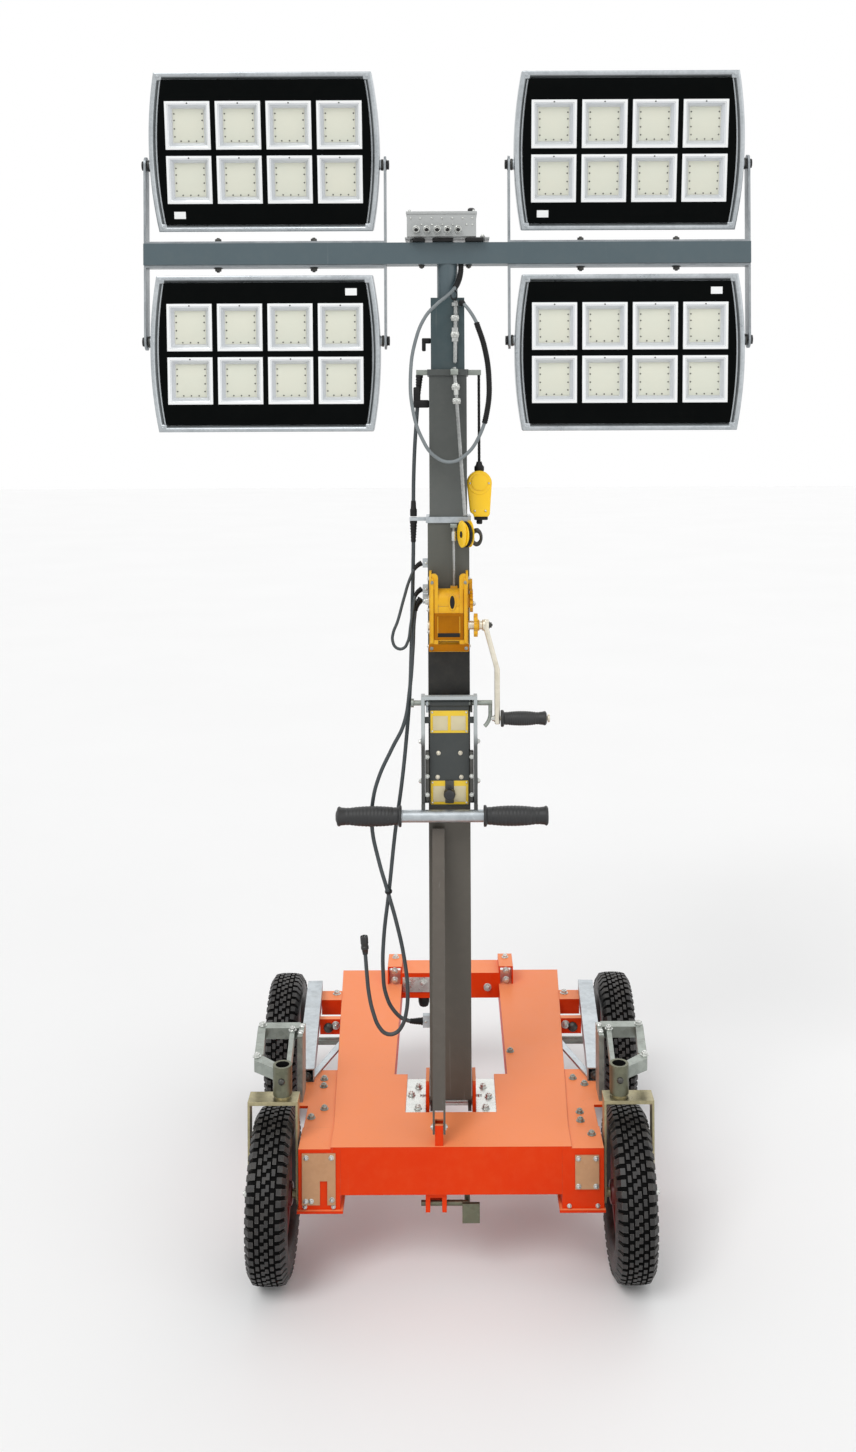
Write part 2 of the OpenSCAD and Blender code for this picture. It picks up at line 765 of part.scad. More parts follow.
// Pivot pin of the push handle with its bent pull grip
module pull_pin() {
    x0 = -outer_w / 2 - 36;
    bend_r = 40;
    wire = 9;
    bend_x = outer_w / 2 + 6;
    color(steel) {
        rod_x([x0, bend_x + bend_r + wire / 2], handle_pin_y, handle_pin_z, handle_pin_d);
        rod_x([x0 - 3, x0 + 3], handle_pin_y, handle_pin_z, handle_pin_d + 8);
        rod_z(bend_x + bend_r, handle_pin_y, [handle_pin_z - 24, handle_pin_z], wire);
        translate([bend_x, handle_pin_y, handle_pin_z - 24]) rotate([-90, 0, 0])
            rotate_extrude(angle = 48) translate([bend_r, 0]) circle(d = wire);
    }
}

// Push handle on its swinging plate
module handle_plate() {
    z0 = handle_pin_z + 11 - handle_plate_h;
    neck = outer_w / 2 - 3;
    color("#4a4f50") {
        difference() {
            union() {
                block([-neck, neck], [handle_y - handle_plate_t, handle_y], [z0, handle_pin_z]);
                rod_x([-neck, neck], handle_pin_y, handle_pin_z, handle_pin_d + 6);
            }
            rod_x([-neck - 1, neck + 1], handle_pin_y, handle_pin_z, handle_pin_d + 2 * run);
        }
        for (z = [z0 + 8, z0 + 190]) both_sides()
            block([neck, handle_half - strap_t], [handle_y - handle_plate_t, handle_y], [z, z + 14]);
    }
}

// Strap bent round the plate: top and two legs down to the bar
module handle_frame() {
    depth = 34;
    front = handle_y - 20;
    leg_z = handle_z - handle_d / 2;
    color(steel) difference() {
        union() {
            both_sides() {
                block([handle_half - strap_t, handle_half], [front, front + depth],
                      [leg_z + 20, handle_pin_z + 18]);
                block([handle_half - strap_t, handle_half], [handle_bar_y, front + depth],
                      [leg_z, leg_z + 40]);
            }
            block([-handle_half + strap_t, handle_half - strap_t], [front, handle_pin_y],
                  [handle_pin_z + 10, handle_pin_z + 18]);
        }
        rod_x([-handle_half - 1, handle_half + 1], handle_pin_y, handle_pin_z, handle_pin_d + 2 * run);
        rod_x([-handle_half - 1, handle_half + 1], handle_bar_y, handle_z, handle_d);
    }
}

module handle_bar() {
    color(steel) rod_x([handle_shift - handle_len / 2, handle_shift + handle_len / 2],
                       handle_bar_y, handle_z, handle_d);
}

module handle_grips() {
    grip_d = handle_d + 12;
    flange = 8;
    color(black) for (s = [-1, 1]) {
        x0 = handle_shift + s * (handle_len / 2 + 3);
        x1 = x0 - s * grip_len;
        difference() {
            union() {
                rod_x([min(x0, x1), max(x0, x1)], handle_bar_y, handle_z, grip_d);
                rod_x([min(x1, x1 + s * flange), max(x1, x1 + s * flange)], handle_bar_y, handle_z, grip_d + 8);
                rod_x([min(x0, x0 - s * flange), max(x0, x0 - s * flange)], handle_bar_y, handle_z, grip_d + 4);
            }
            rod_x([handle_shift - handle_len / 2, handle_shift + handle_len / 2],
                  handle_bar_y, handle_z, handle_d);
        }
    }
}

module crank() {
    arm_w = 22;
    arm_t = 7;
    hub_x = winch_w / 2 + winch_plate_t + 14;
    bend = 100;
    out = 30;
    color(zinc) {
        rod_x([-winch_w / 2 - winch_plate_t - 4, crank_x], winch_y, winch_z, shaft_d);
        rod_x([hub_x, hub_x + 12], winch_y, winch_z, 40);
        translate([0, winch_y + arm_w / 2, 0]) rotate([90, 0, 0]) linear_extrude(arm_w) polygon([
            [crank_x - arm_t, winch_z + 12],
            [crank_x, winch_z + 12],
            [crank_x, winch_z - 8],
            [crank_x + out, winch_z - bend],
            [crank_x + out, winch_z - crank_throw - 12],
            [crank_x + out - arm_t, winch_z - crank_throw - 12],
            [crank_x + out - arm_t, winch_z - bend],
            [crank_x - arm_t, winch_z - 8]]);
        rod_x([crank_x + out - 1, crank_x + out + crank_grip_len + 8], winch_y, winch_z - crank_throw, 10);
        rod_x([crank_x + out + crank_grip_len + 3, crank_x + out + crank_grip_len + 7], winch_y,
              winch_z - crank_throw, 18);
    }
}

module crank_grip() {
    x0 = crank_x + 31;
    color(black) difference() {
        union() {
            rod_x([x0, x0 + crank_grip_len], winch_y, winch_z - crank_throw, 30);
            rod_x([x0, x0 + 6], winch_y, winch_z - crank_throw, 38);
        }
        rod_x([x0 - 1, x0 + crank_grip_len + 1], winch_y, winch_z - crank_throw, 10 + 2 * run);
    }
}

module mid_tube() {
    color(grey) {
        mast_tube(mid_w, tube_wall, [mid_foot, mid_top]);
        tube_mouth(mid_w, tube_wall, mid_top);
        block([mid_w / 2, mid_w / 2 + 34], [mast_y - 14, mast_y + 6], [mid_top - 12, mid_top]);
        block([-mid_w / 2 - 30, -mid_w / 2 - collar_t], [mast_y - 20, mast_y - 8], [mid_top - 12, mid_top]);
    }
}

module arrester() {
    ax = mid_w / 2 + 29;
    ay = mast_y - 4;
    color("#f5c61e") {
        hull() {
            translate([ax, ay, mid_top - 264]) rotate([90, 0, 0]) cylinder(d = 58, h = 44, center = true, $fn = 32);
            translate([ax + 1, ay, mid_top - 327]) cube([32, 34, 30], center = true);
        }
    }
    color(black) {
        rod_z(ax, ay, [mid_top - 244, mid_top - 12], 6);
        rod_z(ax, ay, [mid_top - 362, mid_top - 342], 14);
    }
}

// Rope that rises from the sheave to the head of the middle tube, leaning a little to the left
module lift_rope() {
    foot_x = outer_w / 2 - 10;
    head_x = rope_x + 3;
    rise = mid_top - outer_top;
    color(steel) {
        translate([foot_x, rope_y, outer_top + 4]) rotate([0, atan((head_x - foot_x) / rise), 0])
            cylinder(d = rope_d, h = norm([foot_x - head_x, rise]));
        block([head_x - 8, head_x + 8], [rope_y - 6, mast_y - mid_w / 2 - collar_t], [mid_top - 12, mid_top]);
    }
}

module top_tube() {
    color(grey) {
        mast_tube(top_w, tube_wall, [top_foot, top_top]);
        block([24, 38], [mast_y - top_w / 2 - 7, mast_y - top_w / 2], [top_top - 14, top_top]);
        rod_z(rope_x + 5, mast_y - top_w / 2 - 6, [mid_top + 14, top_top - 6], rope_d);
        for (z = [[mid_top + 64, mid_top + 96], [top_top - 14, top_top - 6]])
            block([rope_x - 2, rope_x + 12], [mast_y - top_w / 2 - 10, mast_y - top_w / 2], z);
        difference() {
            block([-top_w / 2, top_w / 2], [mast_y - top_w / 2, mast_y + top_w / 2], [top_top, top_top + 6]);
            rod_z(0, mast_y, [top_top - 1, top_top + 7], pole_d);
        }
    }
}

module pole() {
    color(steel) difference() {
        rod_z(0, mast_y, [top_top - 120, t_bar_z], pole_d);
        rod_z(0, mast_y, [top_top - 121, t_bar_z - 6], pole_d - 6);
    }
}

module cross_bar() {
    color("#56646a") {
        difference() {
            block([-t_bar_len / 2, t_bar_len / 2], [mast_y - t_bar_w / 2, mast_y + t_bar_w / 2],
                  [t_bar_z, t_bar_top]);
            block([-t_bar_len / 2 + 3, t_bar_len / 2 - 3],
                  [mast_y - t_bar_w / 2 + 3, mast_y + t_bar_w / 2 - 3], [t_bar_z + 3, t_bar_top - 3]);
        }
    }
}

// U-shaped bracket that stands on the face at z = 0, with its bores at the given height
module light_bracket(rise) {
    difference() {
        union() {
            block([-bracket_half - bracket_t, bracket_half + bracket_t], [-bracket_w / 2, bracket_w / 2],
                  [0, bracket_t]);
            both_sides() block([bracket_half, bracket_half + bracket_t], [-bracket_w / 2, bracket_w / 2],
                               [0, rise]);
            both_sides() rod_x([bracket_half, bracket_half + bracket_t], 0, rise, bracket_w);
        }
        rod_x([-bracket_half - bracket_t - 1, bracket_half + bracket_t + 1], 0, rise,
              light_pin_d + 2 * run);
    }
}

module light_brackets() {
    color(steel) for (x = [-light_x, light_x]) {
        translate([x, mast_y, t_bar_top]) light_bracket(upper_rise);
        translate([x, mast_y, t_bar_z]) mirror([0, 0, 1]) light_bracket(pivot_rise);
    }
}

module junction_box() {
    box_w = 160;
    box_h = 56;
    box_d = 90;
    foot = 8;
    box_x = -13;
    box_z = t_bar_top + foot + 3;
    color(steel) {
        block([box_x - box_w / 2, box_x + box_w / 2], [mast_y - box_d / 2, mast_y + box_d / 2],
              [box_z, box_z + box_h]);
        block([-98, 98], [mast_y - 32, mast_y + 32], [t_bar_top + foot, box_z]);
        for (x = [-80, 0, 80]) rod_z(x, mast_y, [t_bar_top, t_bar_top + foot], 16);
        for (i = [-2 : 2]) rod_y(box_x - 10 + i * 24, [mast_y - box_d / 2 - 16, mast_y - box_d / 2],
                                 box_z + 13, 16);
    }
}

// Floodlights, made round their own pivot: front towards -Y, pivot end down
module barrel(w, h, bulge) {
    r = (h * h / 4 + bulge * bulge) / (2 * bulge);
    intersection() {
        square([w + 2 * bulge, h], center = true);
        translate([w / 2 + bulge - r, 0]) circle(r, $fn = 240);
        translate([r - w / 2 - bulge, 0]) circle(r, $fn = 240);
    }
}

module light_body() {
    rim_w = 14;
    fins = 13;
    translate([0, tray_d / 2, light_pivot_off]) rotate([90, 0, 0]) {
        difference() {
            linear_extrude(tray_d) barrel(light_w, light_h, light_bulge);
            translate([0, 0, tray_d - 8]) linear_extrude(9)
                barrel(light_w - 2 * rim_w, light_h - 2 * rim_w, light_bulge - 2);
            translate([0, 0, 6]) linear_extrude(tray_d)
                square([light_w - 60, light_h - 60], center = true);
        }
        for (i = [0 : fins - 1])
            translate([(i - (fins - 1) / 2) * (light_w - 60) / (fins - 1) - 2, -light_h / 2 + 30, -fin_d])
                cube([4, light_h - 60, fin_d]);
    }
    both_sides() {
        rod_x([light_w / 2 + light_bulge - 6, bracket_half + bracket_t + 3], 0, 0, light_pin_d);
        rod_x([light_w / 2 + light_bulge - 6, bracket_half - 1], 0, 0, 30);
        rod_x([bracket_half + bracket_t + 1, bracket_half + bracket_t + 7], 0, 0, 26);
    }
}

module light_panel() {
    pitch_x = 117;
    pitch_z = 124;
    face = -tray_d / 2 + 8;
    translate([0, 0, light_pivot_off]) {
        difference() {
            union() {
                translate([0, face, 0]) rotate([90, 0, 0]) linear_extrude(4)
                    barrel(light_w - 34, light_h - 34, light_bulge - 3);
                for (i = [-1.5 : 1.5]) for (k = [-0.5, 0.5])
                    translate([i * pitch_x, face - 4, k * pitch_z])
                        block([-module_w / 2, module_w / 2], [-3, 0], [-module_h / 2, module_h / 2]);
            }
            for (i = [-1.5 : 1.5]) for (k = [-0.5, 0.5])
                translate([i * pitch_x, face - 4, k * pitch_z])
                    block([-module_w / 2 + 14, module_w / 2 - 14], [-4, -1],
                          [-module_h / 2 + 14, module_h / 2 - 14]);
        }
    }
}

module upper(side) {
    translate([side * light_x, mast_y, upper_pivot_z]) rotate([upper_tilt, 0, 0]) children();
}

module lower(side) {
    translate([side * light_x, mast_y, lower_pivot_z]) rotate([lower_tilt, 0, 0]) mirror([0, 0, 1]) children();
}

module light_upper_left() { color(steel) upper(-1) light_body(); }
module light_upper_right() { color(steel) upper(1) light_body(); }
module light_lower_left() { color(steel) lower(-1) light_body(); }
module light_lower_right() { color(steel) lower(1) light_body(); }
module panel_upper_left() { color(black) upper(-1) light_panel(); }
module panel_upper_right() { color(black) upper(1) light_panel(); }
module panel_lower_left() { color(black) lower(-1) light_panel(); }
module panel_lower_right() { color(black) lower(1) light_panel(); }

// Cables: points that each one passes through
loop_d = 8;
loop_path = [
    [32, -206, 2246], [31, -208, 2228], [26, -220, 2206], [16, -242, 2186], [0, -261, 2168],
    [-24, -270, 2148], [-51, -272, 2118], [-74, -272, 2062], [-85, -272, 1987], [-80, -272, 1906],
    [-60, -272, 1842], [-30, -272, 1800], [5, -272, 1787], [41, -272, 1804], [71, -272, 1845],
    [90, -272, 1906], [94, -272, 1975], [84, -272, 2049], [66, -272, 2105], [46, -270, 2138],
    [35, -258, 2151], [33, -240, 2153]];
cable_d = 9;
riser_path = [
    [-66, -208, 1988], [-68, -209, 1960], [-72, -211, 1900], [-77, -214, 1830], [-80, -216, 1760],
    [-81, -217, 1710], [-81, -217, 1670]];
mast_path = [
    [-81, -217, 1650], [-82, -221, 1560], [-84, -226, 1469], [-87, -232, 1354], [-91, -238, 1250],
    [-98, -244, 1160], [-109, -249, 1055], [-125, -251, 940], [-140, -250, 802], [-153, -247, 690],
    [-155, -242, 612], [-149, -236, 558], [-129, -230, 515], [-104, -226, 494], [-64, -225, 490]];
hang_d = 7;
hang_path = [
    [-61.7, -231, 1553], [-74, -233, 1545], [-88, -238, 1520], [-104, -246, 1470], [-118, -252, 1420],
    [-128, -255, 1394], [-129, -257, 1376], [-120, -259, 1361], [-105, -260, 1360], [-95, -258, 1373],
    [-88, -253, 1410], [-81, -244, 1455], [-74, -235, 1483], [-62, -231, 1493]];
supply_path = [
    [-63.5, -231, 1470], [-74, -235, 1456], [-79, -242, 1430], [-83, -250, 1356], [-90, -256, 1269],
    [-104, -260, 1187], [-132, -261, 1130], [-162, -261, 1065], [-176, -261, 1010], [-178, -261, 950],
    [-163, -262, 875], [-142, -263, 802], [-122, -264, 730], [-106, -265, 655], [-98, -266, 580],
    [-101, -266, 530], [-111, -266, 498], [-127, -266, 481], [-147, -266, 480], [-163, -266, 495],
    [-176, -266, 526],
    [-186, -267, 570], [-191, -268, 620], [-194, -270, 664]];

// Tube of the given size swept along a path
function unit(v) = v / norm(v);
function ring(c, tangent, r, sides) =
    let (u = unit(cross(tangent, [0.13, 1, 0.07])), v = cross(tangent, u))
    [for (k = [0 : sides - 1]) c + r * (cos(360 * k / sides) * u + sin(360 * k / sides) * v)];

module swept(path, d, sides = 8) {
    last = len(path) - 1;
    rings = [for (i = [0 : last])
        let (before = path[max(i - 1, 0)], after = path[min(i + 1, last)])
        ring(path[i], unit(after - before), d / 2, sides)];
    points = [for (r = rings) for (q = r) q];
    sides_faces = [for (i = [0 : last - 1]) for (k = [0 : sides - 1])
        let (n = (k + 1) % sides, a = i * sides, b = a + sides)
        each [[a + k, a + n, b + n], [a + k, b + n, b + k]]];
    ends = [[for (k = [sides - 1 : -1 : 0]) k], [for (k = [0 : sides - 1]) last * sides + k]];
    polyhedron(points, concat(sides_faces, ends), convexity = 6);
}

module loop_cable() { color(black) swept(loop_path, loop_d); }
module riser_cable() { color(black) swept(riser_path, cable_d); }
module mast_cable() { color(black) swept(mast_path, cable_d); }
module hang_cable() { color(black) swept(hang_path, hang_d); }
module supply_cable() { color(black) swept(supply_path, cable_d); }

module cable_plug() {
    color(black) translate(supply_path[len(supply_path) - 1]) rotate([2, -4, 0]) cylinder(d = 18, h = 44);
}

deck();
rear_beam();
corner_boxes();
zinc_plates();
cross_tubes();
side_plates();
side_bars();
frame_lugs();
wheel_hoops();
foot_pin();
catch();
fork_left();
fork_right();
tyre_front_left();
rim_front_left();
tyre_front_right();
rim_front_right();
tyre_rear_left();
rim_rear_left();
tyre_rear_right();
rim_rear_right();
outer_tube();
winch();
winch_rope();
sheave();
stay();
pull_pin();
handle_plate();
handle_frame();
handle_bar();
handle_grips();
crank();
crank_grip();
mid_tube();
arrester();
lift_rope();
top_tube();
pole();
cross_bar();
light_brackets();
junction_box();
light_upper_left();
panel_upper_left();
light_upper_right();
panel_upper_right();
light_lower_left();
panel_lower_left();
light_lower_right();
panel_lower_right();
loop_cable();
riser_cable();
mast_cable();
hang_cable();
supply_cable();
cable_plug();
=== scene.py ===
import math
import random

import bpy
from mathutils import Matrix, Vector


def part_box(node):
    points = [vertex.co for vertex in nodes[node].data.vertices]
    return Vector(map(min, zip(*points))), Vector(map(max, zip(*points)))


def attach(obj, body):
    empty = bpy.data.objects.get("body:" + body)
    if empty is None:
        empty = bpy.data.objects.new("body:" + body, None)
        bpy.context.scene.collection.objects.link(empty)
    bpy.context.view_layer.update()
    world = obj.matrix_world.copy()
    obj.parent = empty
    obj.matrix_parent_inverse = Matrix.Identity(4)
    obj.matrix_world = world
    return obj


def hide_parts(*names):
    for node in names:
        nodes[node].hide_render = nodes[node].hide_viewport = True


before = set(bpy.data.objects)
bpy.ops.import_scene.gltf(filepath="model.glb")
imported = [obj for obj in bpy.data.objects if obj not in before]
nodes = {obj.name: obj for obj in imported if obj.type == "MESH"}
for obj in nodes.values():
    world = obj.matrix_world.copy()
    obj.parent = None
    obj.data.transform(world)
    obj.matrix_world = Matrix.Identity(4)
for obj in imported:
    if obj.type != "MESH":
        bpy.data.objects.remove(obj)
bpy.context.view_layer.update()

UP, DOWN, FRONT, BACK, LEFT, RIGHT = (0, 0, 1), (0, 0, -1), (0, -1, 0), (0, 1, 0), (-1, 0, 0), (1, 0, 0)
ORIGIN = (0, 0, 0)
MAST_Y = -194
AXLE_Z = 175
WINCH_FRONT = -306
ROPE_Y = -262
DRUM_ROPE_X = 12
PIVOT_X, PIVOT_HIGH, PIVOT_LOW = 424, 2481, 2069
SLEEVE_X, SLEEVE_Y = 372, -368
DECK_BOLT_Z = 300
CRANK_AXLE = (0, -290, 1417)
CRANK_GRIP = (0, -290, 1205)
IMAGE_W, IMAGE_H = 856, 1452
SIGHT_X, SIGHT_Y = 448, 430
FOCAL = 1344
SENSOR = 36


def mm(*place):
    return Vector([value / 1000 for value in place])


# Camera

def place_camera():
    bpy.ops.object.camera_add(location=mm(0, -3340, 1860), rotation=(math.radians(90), math.radians(0.25), 0))
    camera = bpy.context.active_object
    camera.name = "front_camera"
    camera.data.sensor_fit = "HORIZONTAL"
    camera.data.sensor_width = SENSOR
    camera.data.lens = SENSOR * FOCAL / IMAGE_W
    camera.data.shift_x = (IMAGE_W / 2 - SIGHT_X) / IMAGE_W
    camera.data.shift_y = (SIGHT_Y - IMAGE_H / 2) / IMAGE_W
    bpy.context.scene.camera = camera


place_camera()


# Modelling helpers: each leaves one piece at the origin with its place in its mesh

def clear():
    bpy.ops.object.select_all(action="DESELECT")


def choose(*pieces):
    clear()
    for piece in pieces:
        piece.select_set(True)
    bpy.context.view_layer.objects.active = pieces[0]


def settle(name):
    piece = bpy.context.active_object
    piece.name = name
    piece.data.name = name
    choose(piece)
    bpy.ops.object.transform_apply(location=True, rotation=True, scale=True)
    return piece


def smooth(piece, angle=35):
    choose(piece)
    bpy.ops.object.shade_smooth_by_angle(angle=math.radians(angle))
    return piece


def rounded(piece, width, segments=2, angle=35):
    choose(piece)
    bevel = piece.modifiers.new("rounding", "BEVEL")
    bevel.width = width / 1000
    bevel.segments = segments
    bevel.limit_method = "ANGLE"
    bevel.angle_limit = math.radians(angle)
    bpy.ops.object.modifier_apply(modifier=bevel.name)
    return smooth(piece)


def dress(piece, finish, body=None):
    """Gives a piece its one finish and the body it moves with."""
    piece.data.materials.clear()
    piece.data.materials.append(finish)
    if body:
        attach(piece, body)
    return piece


def inlay(piece, finish, numbers):
    """A second finish for the numbered faces of a dressed piece."""
    piece.data.materials.append(finish)
    for number in numbers:
        piece.data.polygons[number].material_index = len(piece.data.materials) - 1


def block(name, x, y, z):
    clear()
    bpy.ops.mesh.primitive_cube_add(size=1, location=mm(*[(a + b) / 2 for a, b in (x, y, z)]))
    bpy.context.active_object.scale = mm(*[b - a for a, b in (x, y, z)])
    return settle(name)


def bar(name, x, y, z, edge, steps=2, finish=None, body=None):
    piece = rounded(block(name, x, y, z), edge, steps)
    return dress(piece, finish, body) if finish else piece


def rod(name, low, high, radius, sides, tip):
    """A rod on +Z that may taper to its tip."""
    clear()
    bpy.ops.mesh.primitive_cone_add(vertices=sides, radius1=radius / 1000, radius2=tip / 1000,
                                    depth=(high - low) / 1000, location=mm(0, 0, (low + high) / 2))
    return settle(name)


def torus(name, major, minor, steps, sides, centre=ORIGIN, turn=(0, 0), size=(1, 1, 1)):
    clear()
    bpy.ops.mesh.primitive_torus_add(major_radius=major / 1000, minor_radius=minor / 1000, major_segments=steps,
                                     minor_segments=sides, location=mm(*centre),
                                     rotation=(math.radians(turn[0]), math.radians(turn[1]), 0))
    bpy.context.active_object.scale = size
    return smooth(settle(name))


def leave():
    bpy.ops.object.mode_set(mode="OBJECT")


def pick_faces(piece, test):
    """Selects the faces whose centre and normal pass the test, and stays in edit mode."""
    choose(piece)
    bpy.ops.object.mode_set(mode="EDIT")
    bpy.ops.mesh.select_mode(type="FACE")
    bpy.ops.mesh.select_all(action="DESELECT")
    leave()
    for face in piece.data.polygons:
        face.select = test(face.center * 1000, face.normal)
    bpy.ops.object.mode_set(mode="EDIT")


def sink(piece, test, *steps, apart=False):
    """Insets the faces that pass the test, once for each (width, height)."""
    pick_faces(piece, test)
    for width, height in steps:
        bpy.ops.mesh.inset(thickness=width / 1000, depth=height / 1000, use_individual=apart)
    leave()
    return piece


def in_front(centre, normal):
    return normal.y < -0.9


def chain(name, points):
    """Draws a line of edges from point to point and stays in edit mode."""
    points = [mm(*point) for point in points]
    clear()
    bpy.ops.mesh.primitive_plane_add(size=0.001, location=points[0])
    piece = bpy.context.active_object
    piece.name = name
    choose(piece)
    bpy.ops.object.mode_set(mode="EDIT")
    bpy.ops.mesh.select_mode(type="VERT")
    bpy.ops.mesh.select_all(action="SELECT")
    bpy.ops.mesh.merge(type="CENTER")
    for a, b in zip(points, points[1:]):
        bpy.ops.mesh.extrude_region_move(TRANSFORM_OT_translate={"value": b - a})
    bpy.ops.mesh.select_all(action="SELECT")


def plate(name, points, thickness):
    """A flat piece cut to an outline, thickened along a vector."""
    chain(name, points)
    bpy.ops.mesh.edge_face_add()
    bpy.ops.mesh.extrude_region_move(TRANSFORM_OT_translate={"value": mm(*thickness)})
    bpy.ops.mesh.select_all(action="SELECT")
    bpy.ops.mesh.normals_make_consistent(inside=False)
    leave()
    return settle(name)


def turned(name, profile, centre=ORIGIN, axis=UP, steps=48, bore=0, ring=False, finish=None, body=None):
    """A round piece spun from a profile of (along the axis, radius). Both ends run in to the bore, unless it is
    None, and a ring's profile closes on itself."""
    centre, axis = Vector(centre), Vector(axis).normalized()
    side = Vector(UP) if abs(axis.z) < 0.9 else Vector(FRONT)
    side = (side - axis * side.dot(axis)).normalized()
    if bore is not None:
        profile = [(profile[0][0], bore), *profile, (profile[-1][0], bore)]
    if ring:
        profile = [*profile, profile[0]]
    chain(name, [centre + axis * a + side * r for a, r in profile])
    bpy.ops.mesh.spin(steps=steps, angle=math.tau, center=mm(*centre), axis=axis)
    bpy.ops.mesh.select_all(action="SELECT")
    bpy.ops.mesh.remove_doubles(threshold=0.00002)
    bpy.ops.mesh.normals_make_consistent(inside=False)
    leave()
    piece = smooth(settle(name))
    return dress(piece, finish, body) if finish else piece


def joined(name, *pieces):
    choose(*pieces)
    if len(pieces) > 1:
        bpy.ops.object.join()
    piece = bpy.context.active_object
    piece.name = name
    piece.data.name = name
    return piece


def facing(look):
    """Turns +Z to the given direction, keeping +Y as upright as it can be."""
    z = Vector(look).normalized()
    x = Vector(BACK if abs(z.z) > 0.99 else UP).cross(z).normalized()
    return Matrix((x, z.cross(x), z)).transposed().to_4x4()


def fresh_copy(piece, name):
    copy = piece.copy()
    copy.data = piece.data.copy()
    copy.name = name
    copy.data.name = name
    bpy.context.collection.objects.link(copy)
    return copy


def spread(name, model, spots, keep=False):
    """Copies a piece modelled at the origin, looking along +Z, to each (point, direction, turn)."""
    made = []
    for point, look, *turn in spots:
        copy = fresh_copy(model, name)
        turn = Matrix.Rotation(turn[0] if turn else 0, 4, "Z")
        copy.data.transform(Matrix.Translation(mm(*point)) @ facing(look) @ turn)
        made.append(copy)
    if not keep:
        bpy.data.objects.remove(model)
    return joined(name, *made)


# Finishes

def socket(tree, target, value):
    if isinstance(value, bpy.types.NodeSocket):
        tree.links.new(value, target)
    else:
        target.default_value = value


def put(tree, kind, sockets=None, **settings):
    """Adds a node, sets its settings, and sets or links its inputs by name or number."""
    node = tree.nodes.new(kind)
    for key, value in settings.items():
        setattr(node, key, value)
    for key, value in (sockets or {}).items():
        socket(tree, node.inputs[key], value)
    return node


def wire(tree, shader, **links):
    for label, value in links.items():
        socket(tree, shader.inputs[label.replace("_", " ")], value)


def blend_colour(tree, factor, a, b):
    return put(tree, "ShaderNodeMix", {0: factor, 6: a, 7: b}, data_type="RGBA").outputs[2]


def blend_value(tree, factor, a, b):
    return put(tree, "ShaderNodeMix", {0: factor, 2: a, 3: b}, data_type="FLOAT").outputs[0]


def ramp(tree, value, low, high, out_low=0.0, out_high=1.0):
    return put(tree, "ShaderNodeMapRange", {0: value, 1: low, 2: high, 3: out_low, 4: out_high}).outputs[0]


def times(tree, a, b):
    return put(tree, "ShaderNodeMath", {0: a, 1: b}, operation="MULTIPLY").outputs[0]


def greater(tree, a, b):
    return put(tree, "ShaderNodeMath", {0: a, 1: b}, operation="MAXIMUM").outputs[0]


def noise(tree, place, scale, detail, roughness=0.5):
    return put(tree, "ShaderNodeTexNoise", {"Vector": place, "Scale": scale, "Detail": detail,
                                            "Roughness": roughness}).outputs[0]


def on_object(tree, kind="Object"):
    return put(tree, "ShaderNodeTexCoord").outputs[kind]


def effect(name, inputs, outputs):
    """A node group with an input for each value given, and the outputs named."""
    kinds = {4: "Color", 3: "Vector", 1: "Float"}
    tree = bpy.data.node_groups.new(name, "ShaderNodeTree")
    for label, value in inputs.items():
        kind = kinds[len(value) if isinstance(value, tuple) else 1]
        made = tree.interface.new_socket(label, in_out="INPUT", socket_type="NodeSocket" + kind)
        made.default_value = value
    for label, kind in outputs.items():
        tree.interface.new_socket(label, in_out="OUTPUT", socket_type="NodeSocket" + kind)
    return tree, tree.nodes.new("NodeGroupInput").outputs, tree.nodes.new("NodeGroupOutput").inputs


def make_weathering():
    tree, given, out = effect("weathering", {
        "Colour": (0.8, 0.8, 0.8, 1), "Faded": (0.9, 0.9, 0.9, 1), "Dust": (0.4, 0.36, 0.3, 1),
        "Patch Scale": 6.0, "Fading": 0.5, "Dustiness": 0.2}, {"Colour": "Color", "Dust": "Float"})
    place = on_object(tree)
    patches = noise(tree, place, given["Patch Scale"], 5.0, 0.6)
    faded = times(tree, ramp(tree, patches, 0.35, 0.7), given["Fading"])
    colour = blend_colour(tree, faded, given["Colour"], given["Faded"])
    up = put(tree, "ShaderNodeSeparateXYZ", {0: on_object(tree, "Normal")}).outputs[2]
    specks = ramp(tree, noise(tree, place, 38.0, 7.0, 0.7), 0.45, 0.72)
    dust = times(tree, times(tree, ramp(tree, up, 0.0, 1.0, 0.25, 1.0), specks), given["Dustiness"])
    socket(tree, out["Colour"], blend_colour(tree, dust, colour, given["Dust"]))
    socket(tree, out["Dust"], dust)
    return tree


def make_edge_wear():
    tree, given, out = effect("edge_wear", {"Radius": 0.002, "Amount": 0.5, "Chip Scale": 60.0}, {"Mask": "Float"})
    soft = put(tree, "ShaderNodeBevel", {"Radius": given["Radius"]}, samples=4).outputs[0]
    true = put(tree, "ShaderNodeNewGeometry").outputs["Normal"]
    match = put(tree, "ShaderNodeVectorMath", {0: soft, 1: true}, operation="DOT_PRODUCT").outputs["Value"]
    chips = ramp(tree, noise(tree, on_object(tree), given["Chip Scale"], 4.0, 0.75), 0.44, 0.6)
    worn = times(tree, ramp(tree, match, 0.985, 0.88), chips)
    socket(tree, out["Mask"], times(tree, worn, given["Amount"]))
    return tree


def make_grain():
    tree, given, out = effect("surface_grain", {"Coarse": 60.0, "Fine": 600.0, "Fine Share": 0.3},
                              {"Height": "Float"})
    place = on_object(tree)
    coarse, fine = noise(tree, place, given["Coarse"], 3.0), noise(tree, place, given["Fine"], 2.0)
    socket(tree, out["Height"], blend_value(tree, given["Fine Share"], coarse, fine))
    return tree


